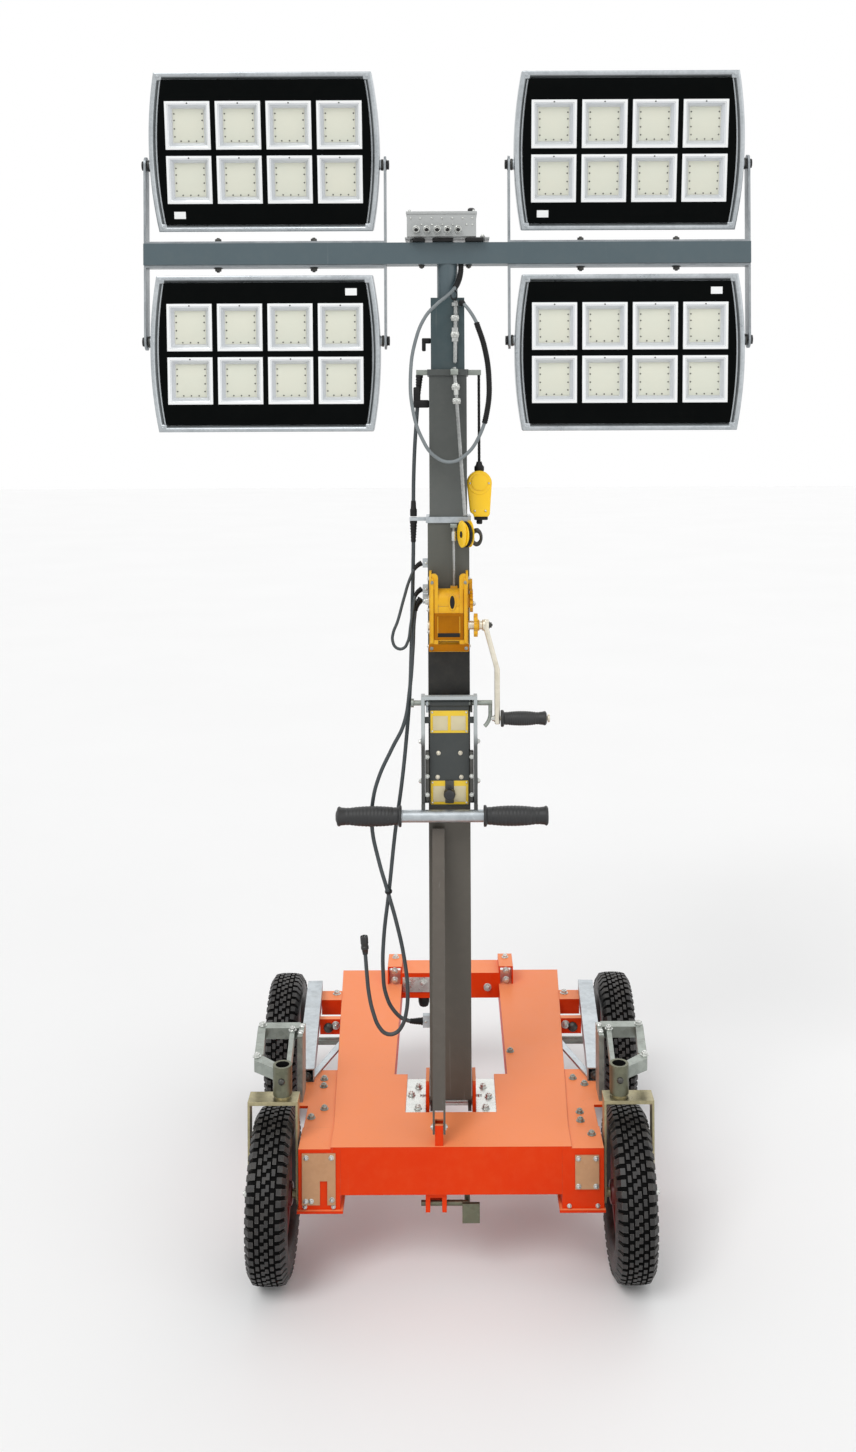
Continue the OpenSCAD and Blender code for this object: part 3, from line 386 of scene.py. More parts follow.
def make_scratches():
    tree, given, out = effect("scratches", {"Stretch": (200.0, 200.0, 4.0), "Amount": 0.3}, {"Mask": "Float"})
    place = on_object(tree)
    drawn = put(tree, "ShaderNodeVectorMath", {0: place, 1: given["Stretch"]}, operation="MULTIPLY").outputs[0]
    lines = ramp(tree, noise(tree, drawn, 1.0, 3.0), 0.66, 0.74)
    where = ramp(tree, noise(tree, place, 5.0, 2.0), 0.48, 0.62)
    socket(tree, out["Mask"], times(tree, times(tree, lines, where), given["Amount"]))
    return tree


def make_spangle():
    tree, given, out = effect("zinc_spangle", {
        "Light": (0.6, 0.62, 0.63, 1), "Dark": (0.42, 0.44, 0.46, 1), "Flake Scale": 90.0},
        {"Colour": "Color", "Value": "Float"})
    place = on_object(tree)
    flakes = put(tree, "ShaderNodeTexVoronoi", {"Vector": place, "Scale": given["Flake Scale"]}).outputs["Color"]
    tones = put(tree, "ShaderNodeSeparateColor", {0: flakes}).outputs[0]
    value = blend_value(tree, 0.6, tones, ramp(tree, noise(tree, place, 14.0, 4.0), 0.3, 0.7))
    socket(tree, out["Value"], value)
    socket(tree, out["Colour"], blend_colour(tree, value, given["Dark"], given["Light"]))
    return tree


weathering = make_weathering()
edge_wear = make_edge_wear()
surface_grain = make_grain()
scratches = make_scratches()
zinc_spangle = make_spangle()


def srgb(code):
    """A colour from its usual six-figure code."""
    parts = [int(code[i:i + 2], 16) / 255 for i in (0, 2, 4)]
    return tuple(c / 12.92 if c <= 0.04045 else ((c + 0.055) / 1.055) ** 2.4 for c in parts) + (1.0,)


def blank(name, roughness, metallic=0.0, **sockets):
    finish = bpy.data.materials.new(name)
    finish.use_nodes = True
    tree = finish.node_tree
    shader = tree.nodes["Principled BSDF"]
    wire(tree, shader, Roughness=roughness, Metallic=metallic, **sockets)
    return finish, tree, shader


def use(tree, group, **sockets):
    return put(tree, "ShaderNodeGroup", {label.replace("_", " "): value for label, value in sockets.items()},
               node_tree=group).outputs


def weathered(tree, colour, faded, dust, patch, fading, dustiness):
    return use(tree, weathering, Colour=colour, Faded=srgb(faded), Dust=srgb(dust), Patch_Scale=patch,
               Fading=fading, Dustiness=dustiness)


def relief(tree, shader, coarse, fine, share, distance, strength, edge=0.0012):
    """Fine grain, over edges that look softened by the given radius."""
    grain = use(tree, surface_grain, Coarse=coarse, Fine=fine, Fine_Share=share)["Height"]
    soft = put(tree, "ShaderNodeBevel", {"Radius": edge}, samples=3).outputs[0]
    bump = put(tree, "ShaderNodeBump", {"Height": grain, "Distance": distance, "Strength": strength, "Normal": soft})
    wire(tree, shader, Normal=bump.outputs[0])


def paint(name, tone, faded, dust, roughness=0.35, under="8a8580", fading=0.5, dustiness=0.25, wear=0.6,
          patch=6.0, coat=0.3, scuffs=0.25, painted_top_highlight=None, shine=0.5):
    """Worn paint over the colour under it. The tone is a colour code or a function that makes it in the tree."""
    finish, tree, shader = blank(name, roughness, Coat_Roughness=0.2, Specular_IOR_Level=shine)
    look = weathered(tree, tone(tree) if callable(tone) else srgb(tone), faded, dust, patch, fading, dustiness)
    worn = use(tree, edge_wear, Radius=0.0016, Amount=wear, Chip_Scale=70.0)["Mask"]
    bare = greater(tree, worn, use(tree, scratches, Amount=scuffs)["Mask"])
    coloured = look["Colour"]
    # Faces that look up blend towards the lighter top colour given: a painted highlight where light falls on the top.
    if painted_top_highlight:
        up = put(tree, "ShaderNodeSeparateXYZ", {0: on_object(tree, "Normal")}).outputs[2]
        coloured = blend_colour(tree, ramp(tree, up, 0.3, 1.0, 0.0, 0.85), coloured, srgb(painted_top_highlight))
    wire(tree, shader, Base_Color=blend_colour(tree, bare, coloured, srgb(under)),
         Roughness=ramp(tree, look["Dust"], 0.0, 0.5, roughness, 0.75))
    if coat:
        wire(tree, shader, Coat_Weight=ramp(tree, bare, 0.0, 0.6, coat, 0.0))
    relief(tree, shader, 90.0, 900.0, 0.4, 0.0006, 0.35)
    return finish


def tube_paint(name, stops, faded, dust, aside=None):
    """Dark mast paint whose front changes tone at each (height in metres, colour). The rest may keep one tone."""
    # On the mast tubes these front tones are partly painted shade, painted reflection and painted highlight.
    def tone(tree):
        place = put(tree, "ShaderNodeSeparateXYZ", {0: on_object(tree)}).outputs
        colour = srgb(stops[0][1])
        for (low, _), (high, above) in zip(stops, stops[1:]):
            colour = blend_colour(tree, ramp(tree, place[2], low, high), colour, srgb(above))
        if aside:
            colour = blend_colour(tree, ramp(tree, place[1], -0.2414, -0.2402), colour, srgb(aside))
        return colour
    return paint(name, tone, faded, dust, 0.42, "8d8f8c", 0.3, 0.25, 0.5, 3.0, 0.0, 0.3, shine=0.35)


def zinc(name, light, dark, roughness=0.38, metallic=0.85, flake=90.0, dustiness=0.25):
    finish, tree, shader = blank(name, roughness, metallic)
    flakes = use(tree, zinc_spangle, Light=srgb(light), Dark=srgb(dark), Flake_Scale=flake)
    look = weathered(tree, flakes["Colour"], light, "4d463c", 11.0, 0.3, dustiness)
    wire(tree, shader, Base_Color=look["Colour"],
         Roughness=ramp(tree, flakes["Value"], 0.0, 1.0, roughness - 0.08, roughness + 0.14))
    relief(tree, shader, 140.0, 1100.0, 0.4, 0.0004, 0.4)
    return finish


def rubber(name, colour, faded, dust, roughness=0.6, dustiness=0.4, bump=0.0006, coarse=160.0, shine=0.5,
           scuffs_and_edge_highlight=0.0):
    finish, tree, shader = blank(name, roughness, Specular_IOR_Level=shine)
    look = weathered(tree, srgb(colour), faded, dust, 16.0, 0.6, dustiness)
    coloured = look["Colour"]
    # Lighter edges on the tread blocks: painted highlight along the edges, together with scuffing.
    if scuffs_and_edge_highlight:
        worn = use(tree, edge_wear, Radius=0.0012, Amount=scuffs_and_edge_highlight, Chip_Scale=45.0)["Mask"]
        coloured = blend_colour(tree, worn, coloured, srgb("8b8782"))
    wire(tree, shader, Base_Color=coloured, Roughness=ramp(tree, look["Dust"], 0.0, 0.5, roughness, 0.9))
    relief(tree, shader, coarse, 1300.0, 0.5, bump, 0.5, 0.0008)
    return finish


def moulded(name, colour, faded, roughness=0.35, coat=0.2, metallic=0.0, dustiness=0.1, shine=0.5, bump=0.0002):
    finish, tree, shader = blank(name, roughness, metallic, Coat_Weight=coat, Specular_IOR_Level=shine)
    look = weathered(tree, srgb(colour), faded, "6b665c", 9.0, 0.5, dustiness)
    wire(tree, shader, Base_Color=look["Colour"], Roughness=ramp(tree, look["Dust"], 0.0, 0.4, roughness, 0.7))
    relief(tree, shader, 260.0, 1500.0, 0.5, bump, 0.4, 0.0006)
    return finish


# The orange coat's tops turn to the lighter ff9c66, a painted highlight where light falls on the deck. Its light orange
# dust specks lighten the tops too, so they are dust and painted highlight together.
orange_coat = paint("orange_powder_coat", "d93402", "e04209", "e88a5a", 0.4, "a8705c", 0.5, 0.2, 0.4, coat=0.0,
                    painted_top_highlight="ff9c66", shine=0.12)
# On the outer tube's front, the near-black band from 1.24 to 1.36 m is painted shade and painted reflection under the
# winch. The other stops change the front's tone with height, and the sides and back keep one tone.
outer_paint_and_shade = tube_paint("outer_tube_paint", [(0.3, "4f4b44"), (0.9, "57534c"), (1.2, "4f4c45"), (1.24, "090807"),
                                              (1.36, "090807"), (1.46, "585a54")], "565550", "7d776c", "4c4a44")
# The middle tube's front is lighter near its foot, at 1.62 m: a painted highlight.
mid_paint_and_highlight = tube_paint("middle_tube_paint", [(1.62, "5f625e"), (1.82, "4c4f4b"), (2.0, "494d4b")], "55585a", "83807a")
top_paint = tube_paint("top_tube_paint", [(2.0, "3c4a4d"), (2.17, "34464a")], "46565a", "83807a")
stay_paint = tube_paint("stay_paint", [(0.3, "4f4943"), (0.95, "5d5750")], "57524b", "7d776c")
frame_paint = tube_paint("handle_frame_finish", [(1.14, "2b2a28"), (1.17, "b4babb")], "8f9596", "6d685e")
dark_paint = paint("dark_plate_paint", "3a3e3e", "434746", "6d685e", 0.42, "7d7f7c", 0.5, 0.25, 0.5, coat=0.0,
                   shine=0.35)
rim_paint = paint("red_rim_paint", "6e1d1c", "7d2a26", "5c4a3c", 0.4, "4a3a36", 0.6, 0.45, 0.6, shine=0.4)
winch_paint = paint("winch_yellow", "dc9f0c", "e9b728", "7a5a28", 0.3, "8f8672", 0.8, 0.35, 0.7, 22.0, 0.06, shine=0.3)
# Darker orange for the winch's tray, foot strip and post gaps: painted shade in the recess, on the lower part and
# beside the posts.
winch_shade_paint = paint("winch_recess_shade", "a06000", "b06e04", "4a3414", 0.35, "8f8672", 0.7, 0.45, 0.4, 18.0, 0.0, shine=0.1)
bar_paint = paint("cross_bar_paint", "46565c", "4e5e64", "7d7b74", 0.38, "8a9094", 0.6, 0.2, 0.55, 4.0, 0.1)
plate_yellow = paint("plate_yellow", "e3bd22", "ecca3c", "8a7a4c", 0.35, "b5b0a0", 0.5, 0.15, 0.7, 20.0, 0.2)
plate_pale = paint("plate_pale", "c9bd98", "d6cdaa", "94876a", 0.35, "9a9a96", 0.5, 0.15, 0.5, 20.0, 0.2)
galvanised = zinc("galvanised_steel", "c3c9cc", "9aa1a6", 0.36)
dull_zinc = zinc("dull_zinc", "a9afa8", "7d837d", 0.42, 0.8, dustiness=0.4)
olive_zinc = zinc("olive_zinc", "7b7c68", "57584a", 0.42, 0.8, dustiness=0.4)
bright_zinc = zinc("bright_zinc", "d6d8d4", "b4b6b2", 0.28, flake=160.0, dustiness=0.15)
pale_zinc = zinc("pale_yellow_zinc", "e8e2d3", "cdc6b2", 0.34, flake=120.0, dustiness=0.2)
yellow_zinc = zinc("yellow_zinc", "bab08c", "8d866a", 0.34, flake=120.0, dustiness=0.3)
tan_zinc = zinc("tan_zinc_plate", "c79a74", "b98a63", 0.45, 0.35, flake=130.0, dustiness=0.2)
dark_steel = zinc("dark_steel", "5b5b58", "3d3c3a", 0.42, flake=150.0)
cast_silver = zinc("die_cast_aluminium", "c0c5c8", "9da3a7", 0.32, 0.75, flake=220.0, dustiness=0.15)
rope_steel = zinc("wire_rope_steel", "c2c4c2", "8f9190", 0.42, flake=300.0, dustiness=0.3)
# Darker grey for the groove band inside the housing rim: painted shade in the groove.
shell_groove_shade = zinc("shell_groove_shade", "6d7274", "55595b", 0.45, flake=220.0)
bracket_steel = zinc("bracket_steel", "a4a9ac", "7f8589", 0.4)
tyre_rubber = rubber("tyre_rubber", "171616", "242221", "787169", 0.45, 0.3, 0.0008, scuffs_and_edge_highlight=0.8)
# Near-black colour for the tread grooves: painted shade between the blocks.
groove_painted_shade = rubber("tyre_groove_rubber", "050505", "0a0a0a", "2a2825", 0.8, 0.15, 0.0006, shine=0.1)
loop_rubber = rubber("pale_cable_rubber", "70777a", "868d8f", "8b877e", 0.4, 0.2, 0.0003, 300.0)
grip_rubber = rubber("grip_rubber", "1f2021", "2c2d2e", "55514a", 0.5, 0.15, 0.0005, 220.0)
cable_rubber = rubber("cable_rubber", "333a3d", "454d50", "6b675e", 0.42, 0.2, 0.0003, 300.0)
black_rubber = rubber("black_rubber", "0c0c0d", "151515", "4a463f", 0.5, 0.15, 0.0004, 260.0, shine=0.3)
black_plastic = moulded("black_plastic", "141516", "1f2021", 0.42)
box_plastic = moulded("grey_box_enamel", "a8abaa", "b6b8b7", 0.34, 0.1)
yellow_plastic = moulded("yellow_plastic", "fac80a", "fdd628", 0.3, 0.12)
white_reflector = moulded("white_reflector", "eef0f0", "f5f5f5", 0.22, 0.3, dustiness=0.02)
# Darker grey for the sloped walls of the LED trays: painted shade on the walls.
reflector_slope_shade = moulded("reflector_slope_shade", "d2d6da", "dcdfe2", 0.15, 0.2, 0.35, dustiness=0.02)
lamp_cream = moulded("lamp_phosphor", "d8dacb", "dedccb", 0.45, 0.1, dustiness=0.04)
black_glass = moulded("black_glass", "050707", "080b0b", 0.2, 0.0, dustiness=0.02, shine=0.03, bump=0.0)


def finish_node(name, finish, *others):
    """One finish for a CAD piece, or more where (finish, test of a face's centre) pairs follow."""
    node = nodes[name]
    node.data.materials.clear()
    for number, (other, test) in enumerate([(finish, lambda centre: True), *others]):
        node.data.materials.append(other)
        for face in node.data.polygons:
            if test(face.center * 1000):
                face.material_index = number


# Cables: each one is a curve through the points of its route

def route(name, points):
    line = bpy.data.curves.new(name, "CURVE")
    line.dimensions = "3D"
    line.resolution_u = 8
    spline = line.splines.new("BEZIER")
    spline.bezier_points.add(len(points) - 1)
    for knot, point in zip(spline.bezier_points, points):
        knot.co = Vector(point) / 1000
        knot.handle_left_type = knot.handle_right_type = "AUTO"
    piece = bpy.data.objects.new(name, line)
    bpy.context.collection.objects.link(piece)
    return piece


def routed(piece, points):
    """Bends a straight piece that stands on +Z so that it follows the points."""
    guide = route("guide", points)
    bend = piece.modifiers.new("bend", "CURVE")
    bend.object = guide
    bend.deform_axis = "POS_Z"
    choose(piece)
    bpy.ops.object.modifier_apply(modifier=bend.name)
    bpy.data.objects.remove(guide)
    return smooth(piece)


def cable(name, points, diameter, body, node, finish=cable_rubber):
    """A cord whose diameter and length are in metres."""
    piece = route(name, points)
    piece.data.bevel_depth = diameter / 2
    piece.data.bevel_resolution = 5
    piece.data.use_fill_caps = True
    piece.data.materials.append(finish)
    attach(piece, body)
    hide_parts(node)


def boot(name, points, r, length, body):
    """The tapered, ribbed boot where a cable leaves its clip, bent along the cable's own points."""
    wide, narrow, bore, ribs = 1.9, 1.2, 0.9, 6
    profile = [(0, r * wide), (length * 0.12, r * wide)]
    for i in range(ribs):
        a = 0.15 + 0.8 * i / ribs
        radius = r * (wide - (wide - narrow) * a)
        profile += [(length * (a + 0.01), radius * bore), (length * (a + 0.05), radius * bore),
                    (length * (a + 0.06), radius), (length * (a + 0.12), radius)]
    profile.append((length, r * 1.15))
    dress(routed(turned(name, profile, steps=20, bore=r * bore), points), black_rubber, body)


def conduit(name, points, r, length, body):
    """Ribbed black tube that a cable runs through."""
    pitch = 4.5
    valley = r * 0.86
    profile = []
    for i in range(int(length / pitch)):
        z = i * pitch
        profile += [(z, valley), (z + pitch * 0.25, r), (z + pitch * 0.65, r), (z + pitch * 0.9, valley)]
    profile.append((length, valley))
    return dress(routed(turned(name, profile, steps=16, bore=r * 0.7), points), black_rubber, body)


def make_tie(name, place, tilt, body):
    """Flat tie round a cable."""
    return dress(torus(name, 9, 1.7, 32, 8, place, (tilt, 0), (0.8, 1.4, 1.6)), black_rubber, body)


loop_points = [
    (32, -206, 2246), (31, -208, 2228), (26, -220, 2206), (16, -242, 2186), (0, -261, 2168),
    (-24, -270, 2148), (-51, -272, 2118), (-74, -272, 2062), (-85, -272, 1987), (-80, -272, 1906),
    (-60, -272, 1842), (-30, -272, 1800), (5, -272, 1787), (41, -272, 1804), (71, -272, 1845),
    (90, -272, 1906), (94, -272, 1975), (84, -272, 2049), (66, -272, 2105), (46, -270, 2138),
    (35, -258, 2151), (33, -240, 2153)]
riser_points = [
    (-66, -208, 1988), (-68, -209, 1960), (-72, -211, 1900), (-77, -214, 1830), (-80, -216, 1760),
    (-81, -217, 1710), (-81, -217, 1670)]
mast_points = [
    (-81, -217, 1650), (-82, -221, 1560), (-84, -226, 1469), (-87, -232, 1354), (-91, -238, 1250),
    (-98, -244, 1160), (-109, -249, 1055), (-125, -251, 940), (-140, -250, 802), (-153, -247, 690),
    (-155, -242, 612), (-149, -236, 558), (-129, -230, 515), (-104, -226, 494), (-64, -225, 490)]
hang_points = [
    (-61.7, -231, 1553), (-74, -233, 1545), (-88, -238, 1520), (-104, -246, 1470), (-118, -252, 1420),
    (-128, -255, 1394), (-129, -257, 1376), (-120, -259, 1361), (-105, -260, 1360), (-95, -258, 1373),
    (-88, -253, 1410), (-81, -244, 1455), (-74, -235, 1483), (-62, -231, 1493)]
supply_points = [
    (-63.5, -231, 1470), (-74, -235, 1456), (-79, -242, 1430), (-83, -250, 1356), (-90, -256, 1269),
    (-104, -260, 1187), (-132, -261, 1130), (-162, -261, 1065), (-176, -261, 1010), (-178, -261, 950),
    (-163, -262, 875), (-142, -263, 802), (-122, -264, 730), (-106, -265, 655), (-98, -266, 580),
    (-101, -266, 530), (-111, -266, 498), (-127, -266, 481), (-147, -266, 480), (-163, -266, 495),
    (-176, -266, 526), (-186, -267, 570), (-191, -268, 620), (-194, -270, 664)]


def make_plug():
    start = Vector(supply_points[-1])
    along = Matrix.Rotation(math.radians(-4), 4, "Y") @ Matrix.Rotation(math.radians(2), 4, "X") @ Vector(UP)
    socket_depth = 34
    body = turned("supply_plug_body", [
        (0, 4.5), (0, 6.2), (3, 6.4), (11, 7.6), (12.5, 9), (18, 9), (19, 8.2), (24, 8.2), (25, 9), (40, 9),
        (41.5, 8.4), (41.5, 6.8), (socket_depth, 6.8), (socket_depth, 0)], start, along, 36, None,
        finish=black_plastic, body="mast")
    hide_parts("cable_plug")
    pin = turned("plug_pin", [(0, 1.1), (8.5, 1.1), (9, 0.6)], steps=12)
    side = along.orthogonal().normalized()
    spots = [(start + along * socket_depth + Matrix.Rotation(math.tau * i / 3, 3, along) @ side * 3.8, along)
             for i in range(3)]
    return body, dress(spread("supply_plug_pins", pin, spots), bright_zinc, "mast")


def make_cables():
    plug, pins = make_plug()
    sleeves = [conduit("loop_upper_conduit", loop_points, 6.6, 72, "top"),
               conduit("loop_side_conduit", loop_points[::-1][3:11], 6.6, 235, "top"),
               make_tie("bundle_tie", (15, -252, 2170), 60, "top")]
    cable("loop_lead", loop_points, 0.008, "top", "loop_cable", loop_rubber)
    cable("riser_lead", riser_points, 0.009, "mid", "riser_cable")
    cable("mast_lead", mast_points, 0.009, "mast", "mast_cable")
    cable("hang_lead", hang_points, 0.007, "mast", "hang_cable")
    tie = make_tie("lead_tie", (-141, -256.5, 802), 0, "mast")
    cable("supply_lead", supply_points, 0.009, "mast", "supply_cable")


make_cables()


# Floodlights: each is modelled round its own middle, front to -Y, then put on its pivot

light_spots = {
    "upper_left": (-1, 1, "light_ul"), "upper_right": (1, 1, "light_ur"),
    "lower_left": (-1, -1, "light_ll"), "lower_right": (1, -1, "light_lr")}
module_spots = [((i - 1.5) * 117, (k - 0.5) * 124) for k in range(2) for i in range(4)]


def light_frame(side, rise, off_pivot):
    """Place of a floodlight's pivot, or of what lies off it towards the far end of the light."""
    pivot = Matrix.Translation(mm(side * PIVOT_X, MAST_Y, PIVOT_HIGH if rise > 0 else PIVOT_LOW))
    tilt = Matrix.Rotation(math.radians(10 if rise > 0 else 4), 4, "X")
    return pivot @ tilt @ Matrix.Translation(mm(0, 0, rise * off_pivot))


def barrel_outline(w, h, bulge, y, arc=8):
    """Outline with straight top and bottom and bowed sides, at depth y."""
    radius = (h * h / 4 + bulge * bulge) / (2 * bulge)
    middle = w / 2 + bulge - radius
    reach = math.asin(h / 2 / radius)
    right = [(middle + radius * math.cos(reach * t / arc), radius * math.sin(reach * t / arc))
             for t in range(-arc, arc + 1)]
    return [(x, y, z) for x, z in right + [(-x, z) for x, z in reversed(right)]]


def make_shell():
    """Housing of a floodlight, with the numbers of the faces in its seam."""
    shell = plate("light_shell", barrel_outline(500, 363, 17, 26), (0, -50.5, 0))
    sink(shell, in_front, (3.5, 1.5), (4, 0), (2.5, -2.2), (1.5, 0), (3.5, -5.2), (6, 0), (3, -36))
    sink(shell, lambda c, n: n.y > 0.9, (14, 0), (4, -3))
    shell.data.materials.append(cast_silver)
    # The groove band's faces take the darker grey: painted shade.
    inlay(shell, shell_groove_shade, [side.index for side in shell.data.polygons if -0.02385 < side.center.y < -0.0195])
    rounded(shell, 1.1, 2, 25)

    fin = block("cooling_fin", (-1.9, 1.9), (22, 66), (-152, 152))
    pick_faces(fin, lambda c, n: n.y > 0.9)
    bpy.ops.transform.resize(value=(0.55, 1, 0.94))
    leave()
    fins = spread("cooling_fins", rounded(fin, 0.6), [((-220 + 440 * i / 12, 0, 0), UP) for i in range(13)])
    spine = bar("fin_spine", (-222, 222), (22, 34), (-6, 6), 2)
    corners = [(x, z) for x in (-240.5, 240.5) for z in (-172, 172)]
    ears = spread("corner_ears", bar("corner_ear", (-9, 9), (-25.5, 20), (-9, 9), 3.5, 3),
                  [((x, 0, z), UP) for x, z in corners])
    screws = spread("ear_screws", turned("ear_screw", [(0, 3.2), (0.8, 3.2), (1.2, 2.6)], steps=16),
                    [((x, -25.2, z), FRONT) for x, z in corners])
    for piece in (fins, spine, ears, screws):
        dress(piece, cast_silver)
    whole = joined("light_shell", shell, fins, spine, ears, screws)
    return whole, [side.index for side in whole.data.polygons if side.material_index == 1]


def make_face():
    """Black front of a floodlight with its openings, and what shows in them."""
    face = plate("light_face", barrel_outline(468, 331, 14, -18.5), (0, -3.5, 0))
    holes = joined("openings", *[block("opening", (x - 50.5, x + 50.5), (-30, -10), (z - 53, z + 53))
                                 for x, z in module_spots])
    choose(face)
    cut = face.modifiers.new("openings", "BOOLEAN")
    cut.operation = "DIFFERENCE"
    cut.solver = "EXACT"
    cut.object = holes
    bpy.ops.object.modifier_apply(modifier=cut.name)
    bpy.data.objects.remove(holes)
    rounded(face, 0.4, 1, 30)

    middles = [((x, 0, z), UP) for x, z in module_spots]
    tray = sink(block("led_tray", (-52.5, 52.5), (-23.6, -1), (-55, 55)), in_front,
                (6.2, 0), (0.8, -1.2), (1.5, 0), (6.8, -11.5), (1, -0.8))
    trays = spread("led_trays", rounded(tray, 1.6, 3, 30), middles)
    led = sink(block("led_plate", (-36, 36), (-11.5, -10.4), (-38.5, 38.5)), in_front, (2, 0), (0.6, 0.5))
    leds = spread("led_plates", rounded(led, 0.3, 1), middles)
    pad = turned("solder_pad", [(0, 1.8), (0.4, 1.8), (0.9, 1)], steps=10)
    on_plate = [(x, z) for z in (27, 12, -7) for x in (-32.5, 32.5)]
    on_plate += [(-32, -25), (32, -25), (0, -35), (-18, -35), (18, -35)]
    around = [(x, -11.8, z) for x, z in on_plate] + [(0, -23.8, 50)]
    pads = spread("solder_pads", pad, [((x + px, py, z + pz), FRONT) for x, z in module_spots
                                       for px, py, pz in around])
    return face, trays, leds, pads


def make_knob():
    """Clamping knob of a floodlight's pivot and the disc behind it, looking along +Z."""
    grip = rod("pivot_knob", 0, 5.8, 10.8, 30, 10.8)
    sink(grip, lambda c, n: abs(n.z) < 0.3 and round(math.degrees(math.atan2(c.y, c.x)) / 12) % 2 == 0,
         (0.3, -1.6), apart=True)
    sink(grip, lambda c, n: n.z > 0.9, (4.5, 0), (0.8, 0.4))
    disc = turned("angle_disc", [(-6.2, 12.7), (-5.2, 13.5), (-2, 13.5), (-1, 12.7)], steps=32)
    return rounded(grip, 0.4, 2, 30), disc


def make_lights():
    silver, seams = make_shell()
    face, trays, leds, pads = make_face()
    slopes = [side.index for side in trays.data.polygons
              if -0.9 < side.normal.y < -0.1 and -0.0235 < side.center.y < -0.0125]
    grip, disc = make_knob()
    for which, (side, rise, body) in light_spots.items():
        light = "light_" + which
        place = light_frame(side, rise, 29)
        made = []
        for model, name, finish in ((silver, "_housing", cast_silver), (face, "_face", black_glass),
                                    (trays, "_led_trays", white_reflector), (leds, "_leds", lamp_cream),
                                    (pads, "_solder_pads", dark_steel)):
            piece = fresh_copy(model, light + name)
            piece.data.transform(place)
            made.append(dress(piece, finish, body))
        inlay(made[0], shell_groove_shade, seams)
        # The sloped tray walls take the darker grey: painted shade.
        inlay(made[2], reflector_slope_shade, slopes)
        label = bar(light + "_blank_label", (-214, -187), (-22.4, -21.9), (-151.5, -135), 0.2, 1, white_reflector, body)
        label.data.transform(place @ Matrix.Diagonal((rise, 1, rise, 1)))
        ends = ((1, RIGHT), (-1, LEFT))
        knobs = spread(light + "_knobs", grip, [((283 * s, 0, 0), look) for s, look in ends], keep=True)
        discs = spread(light + "_discs", disc, [((276.5 * s, 0, 0), look) for s, look in ends], keep=True)
        bosses = joined(light + "_bosses", *[
            turned("pivot_boss", [(0, 13.5), (4, 14), (5.5, 12.5), (8.5, 12.5)], (262 * s, 0, 0), (s, 0, 0), 28, 6)
            for s in (-1, 1)])
        for piece, finish in ((knobs, black_plastic), (discs, dark_steel), (bosses, cast_silver)):
            piece.data.transform(light_frame(side, rise, 0))
            dress(piece, finish, body)
        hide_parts(light)
        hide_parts("panel_" + which)
    for model in (silver, face, trays, leds, pads, grip, disc):
        bpy.data.objects.remove(model)


make_lights()


# Wheels

wheel_spots = {
    "front_left": (-370, "wheel_fl", -1), "front_right": (-370, "wheel_fr", 1),
    "rear_left": (370, "wheel_rl", -1), "rear_right": (370, "wheel_rr", 1)}


def make_tyre():
    """Tyre round the origin, turning on X, with the numbers of its groove faces."""
    steps = 150
    half = [(0, 170.5), (8.5, 170.4), (10.5, 170.3), (19.5, 169.8), (21.5, 169.5), (31, 167.5), (34, 163),
            (40.5, 154), (43.8, 143), (45, 134), (43.2, 125), (42.5, 124.5), (41.5, 118), (38.5, 114),
            (33, 110.5), (26, 108.5), (23, 104), (20, 102.5)]
    tyre = turned("tyre", [(-a, r) for a, r in reversed(half)] + half[1:], axis=RIGHT, steps=steps, bore=None,
                  ring=True)

    def is_block(centre, normal):
        """Blocks stand in three staggered rows on each half: middle, outer and shoulder."""
        across, right = abs(centre.x), centre.x > 0
        rows = [number for number, (low, high) in enumerate(((0, 8.8), (10.5, 19.7), (21.5, 37.5)))
                if low < across < high]
        if not rows or math.hypot(centre.y, centre.z) < 157.5:
            return False
        step = round(math.degrees(math.atan2(centre.z, centre.y)) % 360 / 360 * steps) % steps
        return (step + rows[0] * (1 if right else 2) + right) % 3 != 0

    sink(tyre, is_block, (0.7, 4.4))
    smooth(tyre, 30)
    grooves = []
    for face in tyre.data.polygons:
        x, y, z = face.center * 1000
        ground = next((r0 + (r1 - r0) * (abs(x) - a0) / (a1 - a0) for (a0, r0), (a1, r1) in zip(half, half[1:])
                       if a0 <= abs(x) <= a1), 0)
        if abs(x) < 39.2 and math.hypot(z, y) > 150 and math.hypot(z, y) - ground < 3.4:
            grooves.append(face.index)
    return tyre, grooves


def make_rim():
    """Rim round the origin, turning on X with its valve towards +X, its nuts and its valve."""
    half = [(20, 102.5), (25, 103.5), (27, 102.5), (24, 99), (23.5, 94), (26, 87.5), (14, 79), (8, 66), (8.5, 44),
            (13, 31), (18, 26), (39, 24), (41, 20)]
    rim = turned("rim", [(-a, r) for a, r in reversed(half)] + half, axis=RIGHT, steps=72, bore=10.1, ring=True)
    nut = turned("rim_nut", [(0, 8.5), (1.2, 9), (2, 8.5)], steps=20)
    head = rounded(rod("rim_nut_head", 2, 8, 6.5, 6, 6.1), 0.5)
    stud = smooth(rod("rim_stud", 7, 11.5, 3.3, 14, 3))
    turns = [math.tau * (i + 0.25) / 5 for i in range(5)]
    nuts = spread("rim_nuts", joined("rim_nut", nut, head, stud),
                  [((s * 8.2, 56 * math.cos(a), 56 * math.sin(a)), (s, 0, 0), a) for s in (-1, 1) for a in turns])
    valve = turned("rim_valve", [(0, 4.2), (6, 3.8), (8, 2.8), (18, 2.8), (18, 3.5), (26, 3.5), (27, 3)],
                   (23.5, 62, 62), (0.6, 0.3, 0.3), 14)
    return rim, nuts, valve


